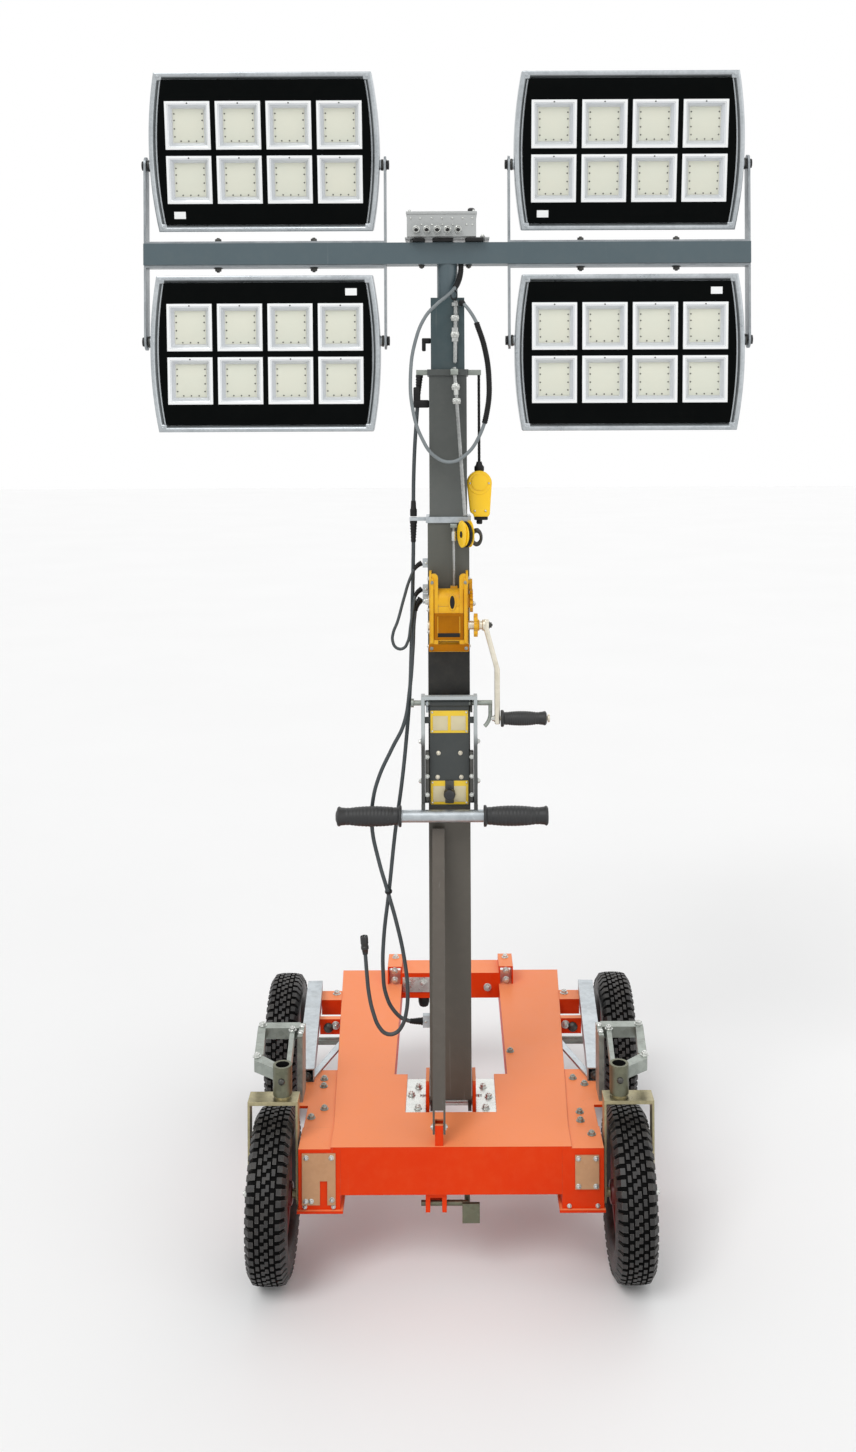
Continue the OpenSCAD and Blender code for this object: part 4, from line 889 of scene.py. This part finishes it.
def make_wheels():
    tyre, grooves = make_tyre()
    rim, nuts, valve = make_rim()
    for which, (y, body, side) in wheel_spots.items():
        low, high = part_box("tyre_" + which)
        place = Matrix.Translation(((low[0] + high[0]) / 2, y / 1000, AXLE_Z / 1000))
        place = place @ Matrix.Rotation(0 if side > 0 else math.pi, 4, "Z")
        dish = "rim_" + which + "_dish"
        made = []
        for model, name, finish in ((tyre, "tyre_" + which + "_tread", tyre_rubber), (rim, dish, rim_paint),
                                    (nuts, dish + "_nuts", bright_zinc), (valve, dish + "_valve", black_plastic)):
            piece = fresh_copy(model, name)
            piece.data.transform(place)
            made.append(dress(piece, finish, body))
        # The groove faces take the near-black colour: painted shade.
        inlay(made[0], groove_painted_shade, grooves)
        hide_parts("tyre_" + which)
        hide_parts("rim_" + which)
    for model in (tyre, rim, nuts, valve):
        bpy.data.objects.remove(model)


make_wheels()


# Small hardware

def bolt(size):
    """Hex bolt head on its washer, looking along +Z; the size is across its flats."""
    washer = turned("washer", [(0, size * 0.72), (size * 0.1, size * 0.74), (size * 0.14, size * 0.7)], steps=20)
    head = rounded(rod("head", size * 0.1, size * 0.56, size * 0.577, 6, size * 0.55), size * 0.05)
    stud = smooth(rod("stud", size * 0.5, size * 0.74, size * 0.29, 12, size * 0.24))
    return joined("bolt", washer, head, stud)


def dome(size):
    """Round head of a pin or rivet, looking along +Z."""
    r = size / 2
    return turned("dome", [(0, 0), (0, r), (r * 0.25, r * 0.97), (r * 0.55, r * 0.78), (r * 0.72, r * 0.45),
                           (r * 0.78, 0)], steps=20, bore=None)


def at(look, *places):
    return [(place, look) for place in places]


def both(spots):
    """The spots and their mirror images on the other side."""
    return spots + [((-x, y, z), (-look[0], *look[1:])) for (x, y, z), look in spots]


def fasten(name, model, spots, body, finish=bright_zinc):
    """Copies a fastener to each (place, direction), each at a turn of its own."""
    turns = random.Random(len(spots) + len(name))
    return dress(spread(name, model, [(*spot, turns.uniform(0, math.pi)) for spot in spots]), finish, body)


def bars(name, spans, y, z, edge, steps, finish, body):
    """The same bar over each span of X, as one piece."""
    return dress(joined(name, *[bar(name, x, y, z, edge, steps) for x in spans]), finish, body)


def oval(name, centre, half_w, half_h, depth, look=FRONT, finish=None, body=None):
    """Oval plate of the given half sizes, standing out along its direction."""
    corners = [math.tau * i / 28 for i in range(28)]
    piece = plate(name, [(half_w * math.cos(a), half_h * math.sin(a), 0) for a in corners], (0, 0, depth))
    rounded(piece, min(depth, half_w) * 0.2)
    piece.data.transform(Matrix.Translation(mm(*centre)) @ facing(look))
    return dress(piece, finish, body) if finish else piece


def make_crank():
    hub = turned("crank_star", [(57, 20), (58.5, 21.5), (63.5, 21.5), (65, 20), (65, 13), (69, 12.5)],
                 CRANK_AXLE, RIGHT, 40)
    _, y, z = CRANK_AXLE
    lobes = [(56.5, y + 20.5 * math.cos(math.tau * i / 8), z + 20.5 * math.sin(math.tau * i / 8)) for i in range(8)]
    lobes = spread("lobes", rounded(rod("lobe", 0, 9, 6.2, 14, 6.2), 1.2), at(RIGHT, *lobes))
    dress(joined("crank_star", hub, lobes), winch_paint, "crank")
    outline = [(79, 1430), (91, 1430), (91, 1407), (115, 1317), (115, 1193), (103, 1193), (103, 1318), (79, 1408)]
    arm = rounded(plate("crank_arm", [(x, -301, z) for x, z in outline], (0, 22, 0)), 3.4, 3, 30)
    shaft = turned("crank_shaft", [(-48, 9), (-47, 10), (81.5, 10)], CRANK_AXLE, RIGHT, 32)
    pin = turned("crank_pin", [(112, 5), (223, 5), (223.5, 9), (227.5, 9), (228, 8)], CRANK_GRIP, RIGHT, 24)
    boss = turned("crank_boss", [(76, 12), (77, 13), (81.5, 13)], CRANK_AXLE, RIGHT, 32)
    crank = dress(joined("crank_forging", arm, shaft, pin, boss), pale_zinc, "crank")
    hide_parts("crank")


def make_winch_gear():
    oval("winch_slot_rim", (8, -297, 1471), 9, 19, 9.5, FRONT, winch_paint, "mast")
    # A black oval in the drum's slot: painted shade in the opening.
    oval("winch_slot_shadow", (8, -306.2, 1471), 5.5, 15, 1, FRONT, black_rubber, "mast")
    # The tray's face takes the darker orange: painted shade in the recess.
    tray = bar("winch_tray", (-33, 33), (WINCH_FRONT, -299.5), (1386, 1446), 1.5)
    dress(sink(tray, lambda c, n: n.y < -0.99, (4, 0), (2, -2.2)), winch_shade_paint, "mast")
    # A black strip along the tray's slot: painted shade in the opening.
    bar("winch_tray_slot_shadow", (-25, 25), (-305.4, -301), (1392, 1401), 0.4, 2, black_rubber, "mast")
    # A strip across the foot of the winch in the darker orange: painted shade on its lower part.
    bar("winch_foot_shade_strip", (-46, 46), (WINCH_FRONT, -303.5), (1360, 1376), 0.8, 2, winch_shade_paint, "mast")
    fasten("winch_cheek_bolts", bolt(8), [
        *at(LEFT, (-44, -262, 1520), (-44, -262, 1398), (-44, -292, 1370), (-44, -292, 1452)),
        *at(RIGHT, (44, -262, 1520), (44, -292, 1370))], "mast")
    fasten("winch_front_bolts", bolt(5.5), at(
        FRONT, (-39, WINCH_FRONT, 1367), (39, WINCH_FRONT, 1367), (-38, -309, 1516), (38, -309, 1516)),
        "mast", dull_zinc)
    bars("winch_posts", ((-42, -34), (34, 42)), (-309, -303), (1378, 1526), 3, 3, winch_paint, "mast")
    # Thin dark strips beside the posts: painted shadow in the gaps.
    bars("winch_post_gap_shadows", ((-34.6, -32.4), (32.4, 34.6)), (-304.4, -303), (1386, 1500), 0.4, 2, winch_shade_paint, "mast")
    fasten("winch_axle_nut", bolt(17), at(LEFT, (-44, -276, 1471)), "mast")
    make_crank()
    fasten("crank_end_bolt", bolt(11), at(RIGHT, (91, -290, 1417)), "crank", dark_steel)
    fasten("crank_grip_bolt", bolt(11), at(LEFT, (103, -290, 1205)), "crank")
    fasten("pawl_bolt", bolt(9), at(RIGHT, (55, -290, 1466)), "mast")
    turned("winch_rope_ferrule", [(0, 4.8), (1, 5.2), (21, 5.2), (22, 4.8)], (DRUM_ROPE_X, ROPE_Y, 1606), UP, 20, 2.6,
           finish=bright_zinc, body="mast")


def wire_rope(name, a, b, radius, body, node=None, finish=rope_steel):
    """Six strands laid round a core, from a to b."""
    a, b = Vector(a), Vector(b)
    length = (b - a).length
    rings = int(length / 5)
    strand = radius / 3
    model = turned("strand", [(length * i / rings, strand * 1.05) for i in range(rings + 1)], steps=8)
    core = fresh_copy(model, "rope_core")
    turns = [math.tau * i / 6 for i in range(6)]
    strands = spread("strands", model, at(UP, *[(2 * strand * math.cos(t), 2 * strand * math.sin(t), 0)
                                                for t in turns]))
    rope = joined(name, strands, core)
    lay = rope.modifiers.new("lay", "SIMPLE_DEFORM")
    lay.deform_method = "TWIST"
    lay.deform_axis = "Z"
    lay.angle = math.tau * length / (radius * 15)
    choose(rope)
    bpy.ops.object.modifier_apply(modifier=lay.name)
    rope.data.transform(Matrix.Translation(mm(*a)) @ facing(b - a))
    dress(smooth(rope, 60), finish, body)
    if node:
        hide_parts(node)


def make_sheave():
    place = Matrix.Translation(mm(39, -276, 1622)) @ Matrix.Rotation(math.radians(28), 4, "Z")
    wheel = turned("sheave_wheel", [(-8, 27.5), (-6, 28), (-4.5, 24.5), (0, 22), (4.5, 24.5), (6, 28), (8, 27.5)],
                   axis=RIGHT, bore=6, ring=True)
    arm = bar("sheave_arm", (10, 13.5), (-12, 34), (-12, 12), 1.2)
    cheeks = joined("sheave_cheeks", *[oval("sheave_cheek", (x, -1, 1), 21, 31, 2.4, LEFT) for x in (-8.6, 11)])
    wheel = joined("sheave_wheel", wheel, arm, cheeks)
    pin = oval("sheave_pin", (-11, 0, 0), 5.5, 7.5, 1.2, LEFT)
    band = torus("sheave_band", 26.5, 3.4, 40, 12, turn=(0, 90))
    for piece, finish in ((wheel, yellow_plastic), (pin, black_rubber), (band, black_rubber)):
        piece.data.transform(place)
        dress(piece, finish, "mast")
    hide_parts("sheave")
    # hook of the fall arrester on its own eye
    ring = torus("hook_ring", 10.5, 3.6, 32, 12, (65, -238, 1612), (90, 0), (1, 1.5, 1))
    shank = turned("hook_shank", [(0, 0), (0, 3.5), (2, 5.5), (7, 5.5), (8, 4), (8.5, 0)], (65, -238, 1625), UP, 18,
                   None)
    dress(joined("arrester_hook", ring, shank), dark_steel, "mast")
    bar("hook_eye", (48, 60), (-241, -235), (1602, 1616), 1.5, 2, dull_zinc, "mast")


def make_arrester():
    x, y = 72.5, -198
    case = turned("case_round", [(-22, 25.5), (-19, 29), (19, 29), (22, 25.5)], (x, y, 1736), BACK)
    outline = [(-29, 1736), (-22, 1669), (-14, 1663), (-14, 1658), (21, 1658), (24, 1664), (29, 1736)]
    body = rounded(plate("case_foot", [(x + across, -219, z) for across, z in outline], (0, 42, 0)), 3, 3, 30)
    case = joined("arrester_case", case, body, oval("case_ridge", (x, -220, 1738), 19, 19, 2))
    dress(case, yellow_plastic, "mid")
    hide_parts("arrester")
    wire_rope("arrester_strap", (x, y, 1764), (x, y, 1988), 3.4, "mid", finish=black_rubber)
    collar = turned("arrester_collar", [(0, 10), (4, 11.5), (12, 11.5), (16, 8), (24, 6)], (x, y, 1762), UP, 24)
    foot = bar("arrester_foot", (60, 92), (-214, -182), (1650, 1658.5), 2.5)
    lug = turned("arrester_lug", [(0, 5.5), (2, 7), (12, 7)], (x, y, 1640), UP, 20)
    dress(joined("arrester_black_parts", collar, foot, lug), black_rubber, "mid")
    fasten("arrester_screws", dome(5), at(FRONT, *[(x + across, -220, z) for across, z in (
        (-22, 1736), (22, 1736), (-11, 1672), (14, 1672))]), "mid")


def make_ropes():
    wire_rope("middle_rope", (38, ROPE_Y, 1664), (15, ROPE_Y, 2004), 4.2, "mid", "lift_rope")
    wire_rope("drum_rope", (DRUM_ROPE_X, ROPE_Y, 1502), (DRUM_ROPE_X, ROPE_Y, 1640), 2.9, "mast", "winch_rope")
    bar("drum_rope_anchor", (4, 20), (-268, -242), (1636, 1645), 1.5, 3, dull_zinc, "mast")
    bar("middle_rope_anchor", (6, 24), (-270, -241.5), (1986, 2000), 2, 2, dull_zinc, "mid")
    for name, x, y, z, body in (
            ("middle_rope_clamp", 18, ROPE_Y, 1958, "mid"), ("middle_rope_clip", 20, ROPE_Y, 1926, "mid"),
            ("top_rope_clamp", 17, -239, 2080, "top"), ("top_rope_clip", 17, -239, 2118, "top")):
        clamp = bar(name, (x - 9, x + 9), (y - 6, y + 6), (z - 7, z + 7), 2.5, 3)
        nuts = spread("nuts", bolt(6.5), [((x + across, y - 6, z), FRONT, 0.4) for across in (-5, 5)])
        dress(joined(name, clamp, nuts), bright_zinc, body)
    turned("middle_rope_ferrule", [(0, 5.6), (1, 6), (27, 6), (28, 5.6)], (19.2, ROPE_Y, 1940), (-0.067, 0, 1), 20, 3,
           finish=bright_zinc, body="mid")
    wire_rope("top_rope", (17, -239.5, 2016), (19, -239.5, 2158), 4.6, "top")


def make_cable_fittings():
    boot("loop_boot", loop_points[::-1], 4, 26, "top")
    boot("riser_boot", riser_points, 4.5, 45, "mid")
    turned("riser_socket", [(0, 7.5), (2, 8), (16, 8), (18, 6.5), (36, 5.5)], (-81, -217, 1660), UP, 24, 4.2,
           finish=black_rubber, body="mid")
    boot("mast_boot", mast_points, 4.5, 50, "mast")
    boot("mast_foot_boot", mast_points[::-1], 4.5, 30, "mast")
    boot("hang_boot", hang_points, 3.5, 24, "mast")
    boot("hang_return_boot", hang_points[::-1], 3.5, 24, "mast")
    boot("supply_boot", supply_points, 4.5, 32, "mast")
    for name, x, y, z, edge, body in (
            ("riser_clamp", (-80, -43.5), (-222, -198), (1912, 1930), 3, "mid"),
            ("riser_clamp_low", (-80, -64), (-222, -198), (1926, 1960), 3, "mid"),
            ("lead_hook", (-60, -39), (-216, -196), (2062, 2074), 2.5, "top"),
            ("lead_hook_tail", (-60, -51), (-216, -196), (2044, 2068), 2.5, "top")):
        bar(name, x, y, z, edge, 3, black_rubber, body)
    fasten("clip_screws", dome(6), at(FRONT, (-52, -240, 1553), (-52, -240, 1493), (-52, -240, 1470),
                                      (-57, -232, 492)), "mast")


def make_grip(name, start, along, length, bore, waist, belly, flange):
    """Moulded handle grip with a flange at its inner end and ribs round its middle."""
    ribs = 14
    profile = [(0, flange - 1.5), (1.2, flange), (5, flange), (6.5, flange - 1.5), (8, waist)]
    for i in range(ribs):
        a = (i + 0.5) / ribs
        z = 12 + (length - 30) * a
        r = waist + (belly - waist) * math.sin(math.pi * min(1, a * 1.15)) ** 0.7
        profile += [(z, r), (z + 1, r - 0.5), (z + 2.6, r - 0.5), (z + 3.6, r)]
    profile += [(length - 9, waist + 0.8), (length - 5, belly - 0.5), (length - 2, belly - 1.5), (length, belly - 5)]
    return turned(name, profile, start, along, 40, bore, True)


def make_handle():
    low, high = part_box("handle_grips")
    y, z = -297, 986
    left = make_grip("left_grip", (low[0] * 1000 + 146, y, z), LEFT, 146, 14.02, 19, 22.5, 24)
    right = make_grip("right_grip", (high[0] * 1000 - 146, y, z), RIGHT, 146, 14.02, 19, 22.5, 24)
    grips = dress(joined("handle_grips", left, right), grip_rubber, "handle")
    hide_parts("handle_grips")
    low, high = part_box("crank_grip")
    grip = make_grip("crank_handle", (low[0] * 1000, *CRANK_GRIP[1:]), RIGHT, (high[0] - low[0]) * 1000,
                     5.1, 14, 16.5, 19)
    dress(grip, grip_rubber, "crank_grip")
    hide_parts("crank_grip")
    for name, bottom, top in (("upper_plate", 1168, 1219), ("lower_plate", 1005, 1059)):
        bar(name, (-43, 43), (-270.6, -269), (bottom, top), 0.4, 2, plate_yellow, "handle")
        for side, x in (("_left_panel", -20.5), ("_right_panel", 20.5)):
            bar(name + side, (x - 17, x + 17), (-271.2, -270.4), (bottom + 6, top - 12), 0.3, 2, plate_pale, "handle")
        fasten(name + "_rivets", dome(5), at(FRONT, *[(x, -270.6, height) for x in (-39, 39)
                                                      for height in (bottom + 4, top - 4)]), "handle")
    fasten("handle_plate_bolts", bolt(7), at(FRONT, (-25, -269, 1122), (25, -269, 1122), (-27, -269, 1067),
                                             (27, -269, 1067)), "handle", pale_zinc)
    turned("lock_knob", [(0, 12), (4, 12.5), (5, 8.5), (12, 8.5), (14, 12.5), (22, 13.5), (27, 11.5), (29, 7)],
           (0, -271, 1033), FRONT, 32, finish=black_plastic, body="handle")
    bar("knob_base", (-10, 10), (-273, -270.5), (1008, 1060), 1, 2, dark_steel, "handle")
    for side, x in (("left", (-55, -46)), ("right", (46, 55))):
        bar("latch_" + side, x, (-282, -262), (1014, 1128), 2, 3, dark_steel, "handle")
    fasten("latch_screws", bolt(7), at(FRONT, *[(x, -282, height) for x in (-50.5, 50.5)
                                                for height in (1030, 1072, 1116)]), "handle")
    fasten("frame_bolts", bolt(9), both(at(RIGHT, (64, -275, 1060), (64, -275, 1150))), "handle")
    turned("bar_end_plug", [(0, 0), (0, 13.5), (2, 14.5), (5, 13.5), (7, 9), (7.5, 0)],
           (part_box("handle_bar")[0][0] * 1000 + 1, y, z), LEFT, 24, None, finish=black_plastic, body="handle")


def make_junction_fittings():
    bar("box_lid", (-95, 69), (-241, -147), (2358, 2365), 1.5, 2, box_plastic, "top")
    gland = turned("gland", [(0, 8.8), (4.5, 8.8), (5.2, 7.8), (7.2, 7.4), (7.8, 6.2), (6.2, 5)], steps=24)
    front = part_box("junction_box")[0][1] * 1000
    columns = (-71, -47, -23, 1, 25)
    fasten("box_glands", gland, at(FRONT, *[(x, front + 1, 2321) for x in columns]), "top")
    fasten("gland_seals", dome(9), at(FRONT, *[(x, front - 5, 2319) for x in columns]), "top", black_rubber)
    fasten("box_screws", dome(5), at(FRONT, *[(x, -239, z) for z, row in (
        (2349, (-84, -62, -35, -12, 12, 36, 58)), (2334, (-59, -35, -11, 13, 45, 58))) for x in row]), "top")
    fasten("lid_screws", bolt(6), at(UP, *[(x, y, 2365) for x in (-87, 61) for y in (-233, -155)]), "top")
    turned("box_knob", [(0, 0), (0, 6), (4, 8.5), (8, 8), (10, 5), (10.5, 0)], (56, -226, 2364), UP, 24, None,
           finish=black_plastic, body="top")
    fasten("flange_bolts", bolt(8), at(UP, (-92.5, -160, 2307), (82, -160, 2307), (82, -228, 2307)), "top")
    bars("box_pads", ((-80, -52), (-34, 14), (42, 84)), (-236, -152), (2296, 2304), 1.5, 2, black_rubber, "top")
    fasten("bar_bolts_below", bolt(11), at(DOWN, (-60, MAST_Y, 2246), (50, MAST_Y, 2246)), "top", dark_steel)
    fasten("bracket_bolts", bolt(14), [((x, MAST_Y, z), look) for x in (-536, -312, 312, 536)
                                       for z, look in ((2301, UP), (2241, DOWN))], "top", dark_steel)


def make_base_hardware():
    deck_spots = ((-304, -109), (-302, -144), (-291, -250), (-317, -290), (293, -109), (318, -139), (294, -270),
                  (292, -308), (311, -366))
    foot_spots = ((-76, -153), (-92, -190), (-76, -252), (76, -153), (88, -200), (80, -252))
    corner_spots = ((-315, 283), (-260, 283), (-316, 189), (-304, 189), (-259, 192), (276, 279), (314, 279),
                    (276, 219), (314, 219))
    fasten("deck_washer_bolts", bolt(13), at(UP, *[(x, y, DECK_BOLT_Z) for x, y in deck_spots], (149, 24, 304)),
           "base", dull_zinc)
    fasten("foot_plate_bolts", bolt(13), at(UP, *[(x, y, 302) for x, y in foot_spots]), "base")
    fasten("bar_bolts", bolt(15), at(FRONT, (-346, -117, 312), (346, -117, 312)), "base", dark_steel)
    fasten("lug_bolts", bolt(15), both([((316, 348, 285), FRONT), ((313, 366, 306), UP), ((303, 208, 290), FRONT)]),
           "base")
    fasten("lug_pins", dome(26), both(at(FRONT, (322, 207, 284))), "base", dark_steel)
    fasten("hoop_bolts", bolt(13), both(at(UP, (371, -186, 453), (444, -160, 453), (436, -318, 453))), "base")
    fasten("upright_pins", dome(15), both(at(UP, (350, -200, 453), (350, -166, 453))), "base")
    fasten("sleeve_pins", dome(15), both(at(FRONT, (SLEEVE_X, SLEEVE_Y - 20.5, 430))), "base", dark_steel)
    fasten("corner_plate_bolts", bolt(8), at(FRONT, *[(x, -426, z) for x, z in corner_spots]), "base")
    fasten("flange_bolts_front", bolt(7), both(at(FRONT, (256, -423, 175), (318, -423, 175))), "base")
    bar("beam_plate", (-134, -57), (431, 435), (283, 324), 0.6, 2, bright_zinc, "base")
    fasten("beam_bolts", bolt(15), at(FRONT, (-122, 431, 308), (-75, 431, 308), (104, 435, 295)), "base")
    fasten("tab_bolts", bolt(13), at(FRONT, *[(x, 435, z) for x in (-156, 156) for z in (316, 342)])
           + at(UP, (-156, 500, 353), (156, 500, 353)), "base")
    turned("rubber_stop", [(0, 13), (6, 15.5), (16, 15.5), (26, 12.5), (28, 9)], (-75, 450, 265), DOWN, 28,
           finish=black_rubber, body="base")
    fasten("foot_pin_nuts", bolt(20), both(at(RIGHT, (64, MAST_Y, 290))), "base")
    fasten("stay_lug_nuts", bolt(13), [((-35, -405, 338), LEFT), ((-17, -405, 338), RIGHT)], "base")
    fasten("axle_nuts", bolt(19), [((-446, -370, AXLE_Z), LEFT), ((446, -370, AXLE_Z), RIGHT)], "base")
    for which in ("rear_left", "rear_right"):
        y, body, side = wheel_spots[which]
        turned("hub_cap_" + which, [(-2, 0), (-2, 18.5), (2, 19), (5, 17), (6.5, 10), (7, 0)],
               (side * 492.3, y, AXLE_Z), (side, 0, 0), 28, None, finish=dull_zinc, body=body)


make_winch_gear()
make_sheave()
make_arrester()
make_ropes()
make_cable_fittings()
make_handle()
make_junction_fittings()
make_base_hardware()


# Finishes of the pieces that keep their CAD shape

def finish_nodes():
    for finish, names in (
            (orange_coat, ("deck", "frame_lugs", "rear_beam", "corner_boxes")),
            (dull_zinc, ("cross_tubes", "pull_pin")), (galvanised, ("side_bars", "handle_bar")),
            (bright_zinc, ("foot_pin",)), (olive_zinc, ("catch",)), (yellow_zinc, ("fork_left", "fork_right")),
            (bar_paint, ("pole", "cross_bar")), (bracket_steel, ("light_brackets",)),
            (box_plastic, ("junction_box",)), (winch_paint, ("winch",)), (stay_paint, ("stay",)),
            (dark_paint, ("handle_plate",)), (frame_paint, ("handle_frame",))):
        for name in names:
            finish_node(name, finish)

    def off_sleeve(centre):
        """How far a face is from the middle of the nearer steering sleeve."""
        return math.hypot(abs(centre.x) - SLEEVE_X, centre.y - SLEEVE_Y)

    finish_node("zinc_plates", tan_zinc, (bright_zinc, lambda c: c.y > -300))
    finish_node("side_plates", orange_coat, (dull_zinc, lambda c: c.z > 301))
    # Faces inside the steering sleeve's mouth are black: painted shade in the opening.
    finish_node("wheel_hoops", dull_zinc, (olive_zinc, lambda c: off_sleeve(c) < 21.6),
                (black_rubber, lambda c: off_sleeve(c) < 15.4))
    finish_node("outer_tube", outer_paint_and_shade, (galvanised, lambda c: c.z > 1645.5 or (c.x < -48.5 and c.z > 400)))
    finish_node("mid_tube", mid_paint_and_highlight, (dull_zinc, lambda c: c.z > 1987.5 and abs(c.x) > 45))
    finish_node("top_tube", top_paint, (rope_steel, lambda c: 9.5 < c.x < 24.5 and c.y < -233.2))


finish_nodes()


# Floor, lamps and surroundings, in metres

def make_studio():
    clear()
    bpy.ops.mesh.primitive_plane_add(size=60, location=(0, 10, 0))
    floor = settle("studio_floor")
    finish, tree, shader = blank("studio_floor_paint", 0.75)
    clouds = noise(tree, on_object(tree), 0.8, 4.0)
    socket(tree, shader.inputs["Base Color"],
           blend_colour(tree, clouds, (0.9, 0.9, 0.9, 1), (0.94, 0.94, 0.94, 1)))
    floor.data.materials.append(finish)

    world = bpy.data.worlds.new("studio_light")
    world.use_nodes = True
    bpy.context.scene.world = world
    tree = world.node_tree
    around = tree.nodes["Background"].inputs
    around["Color"].default_value = (1, 1, 1, 1)
    path = put(tree, "ShaderNodeLightPath").outputs
    seen = greater(tree, greater(tree, path["Is Camera Ray"], path["Is Glossy Ray"]), path["Is Transmission Ray"])
    socket(tree, around["Strength"], ramp(tree, seen, 0.0, 1.0, 0.62, 1.0))

    for name, spot, power, breadth in (
            ("key_lamp", (-2.2, -3.6, 4.6), 1.15, 28), ("fill_lamp", (3.4, -3.0, 1.6), 0.5, 50),
            ("back_lamp", (0.8, 3.6, 3.0), 0.35, 50)):
        bpy.ops.object.light_add(type="SUN", location=spot)
        lamp = bpy.context.active_object
        lamp.name = name
        lamp.data.energy = power
        lamp.data.angle = math.radians(breadth)
        lamp.rotation_euler = (-Vector(spot)).to_track_quat("-Z", "Y").to_euler()


make_studio()
bpy.context.scene.view_settings.view_transform = "Standard"
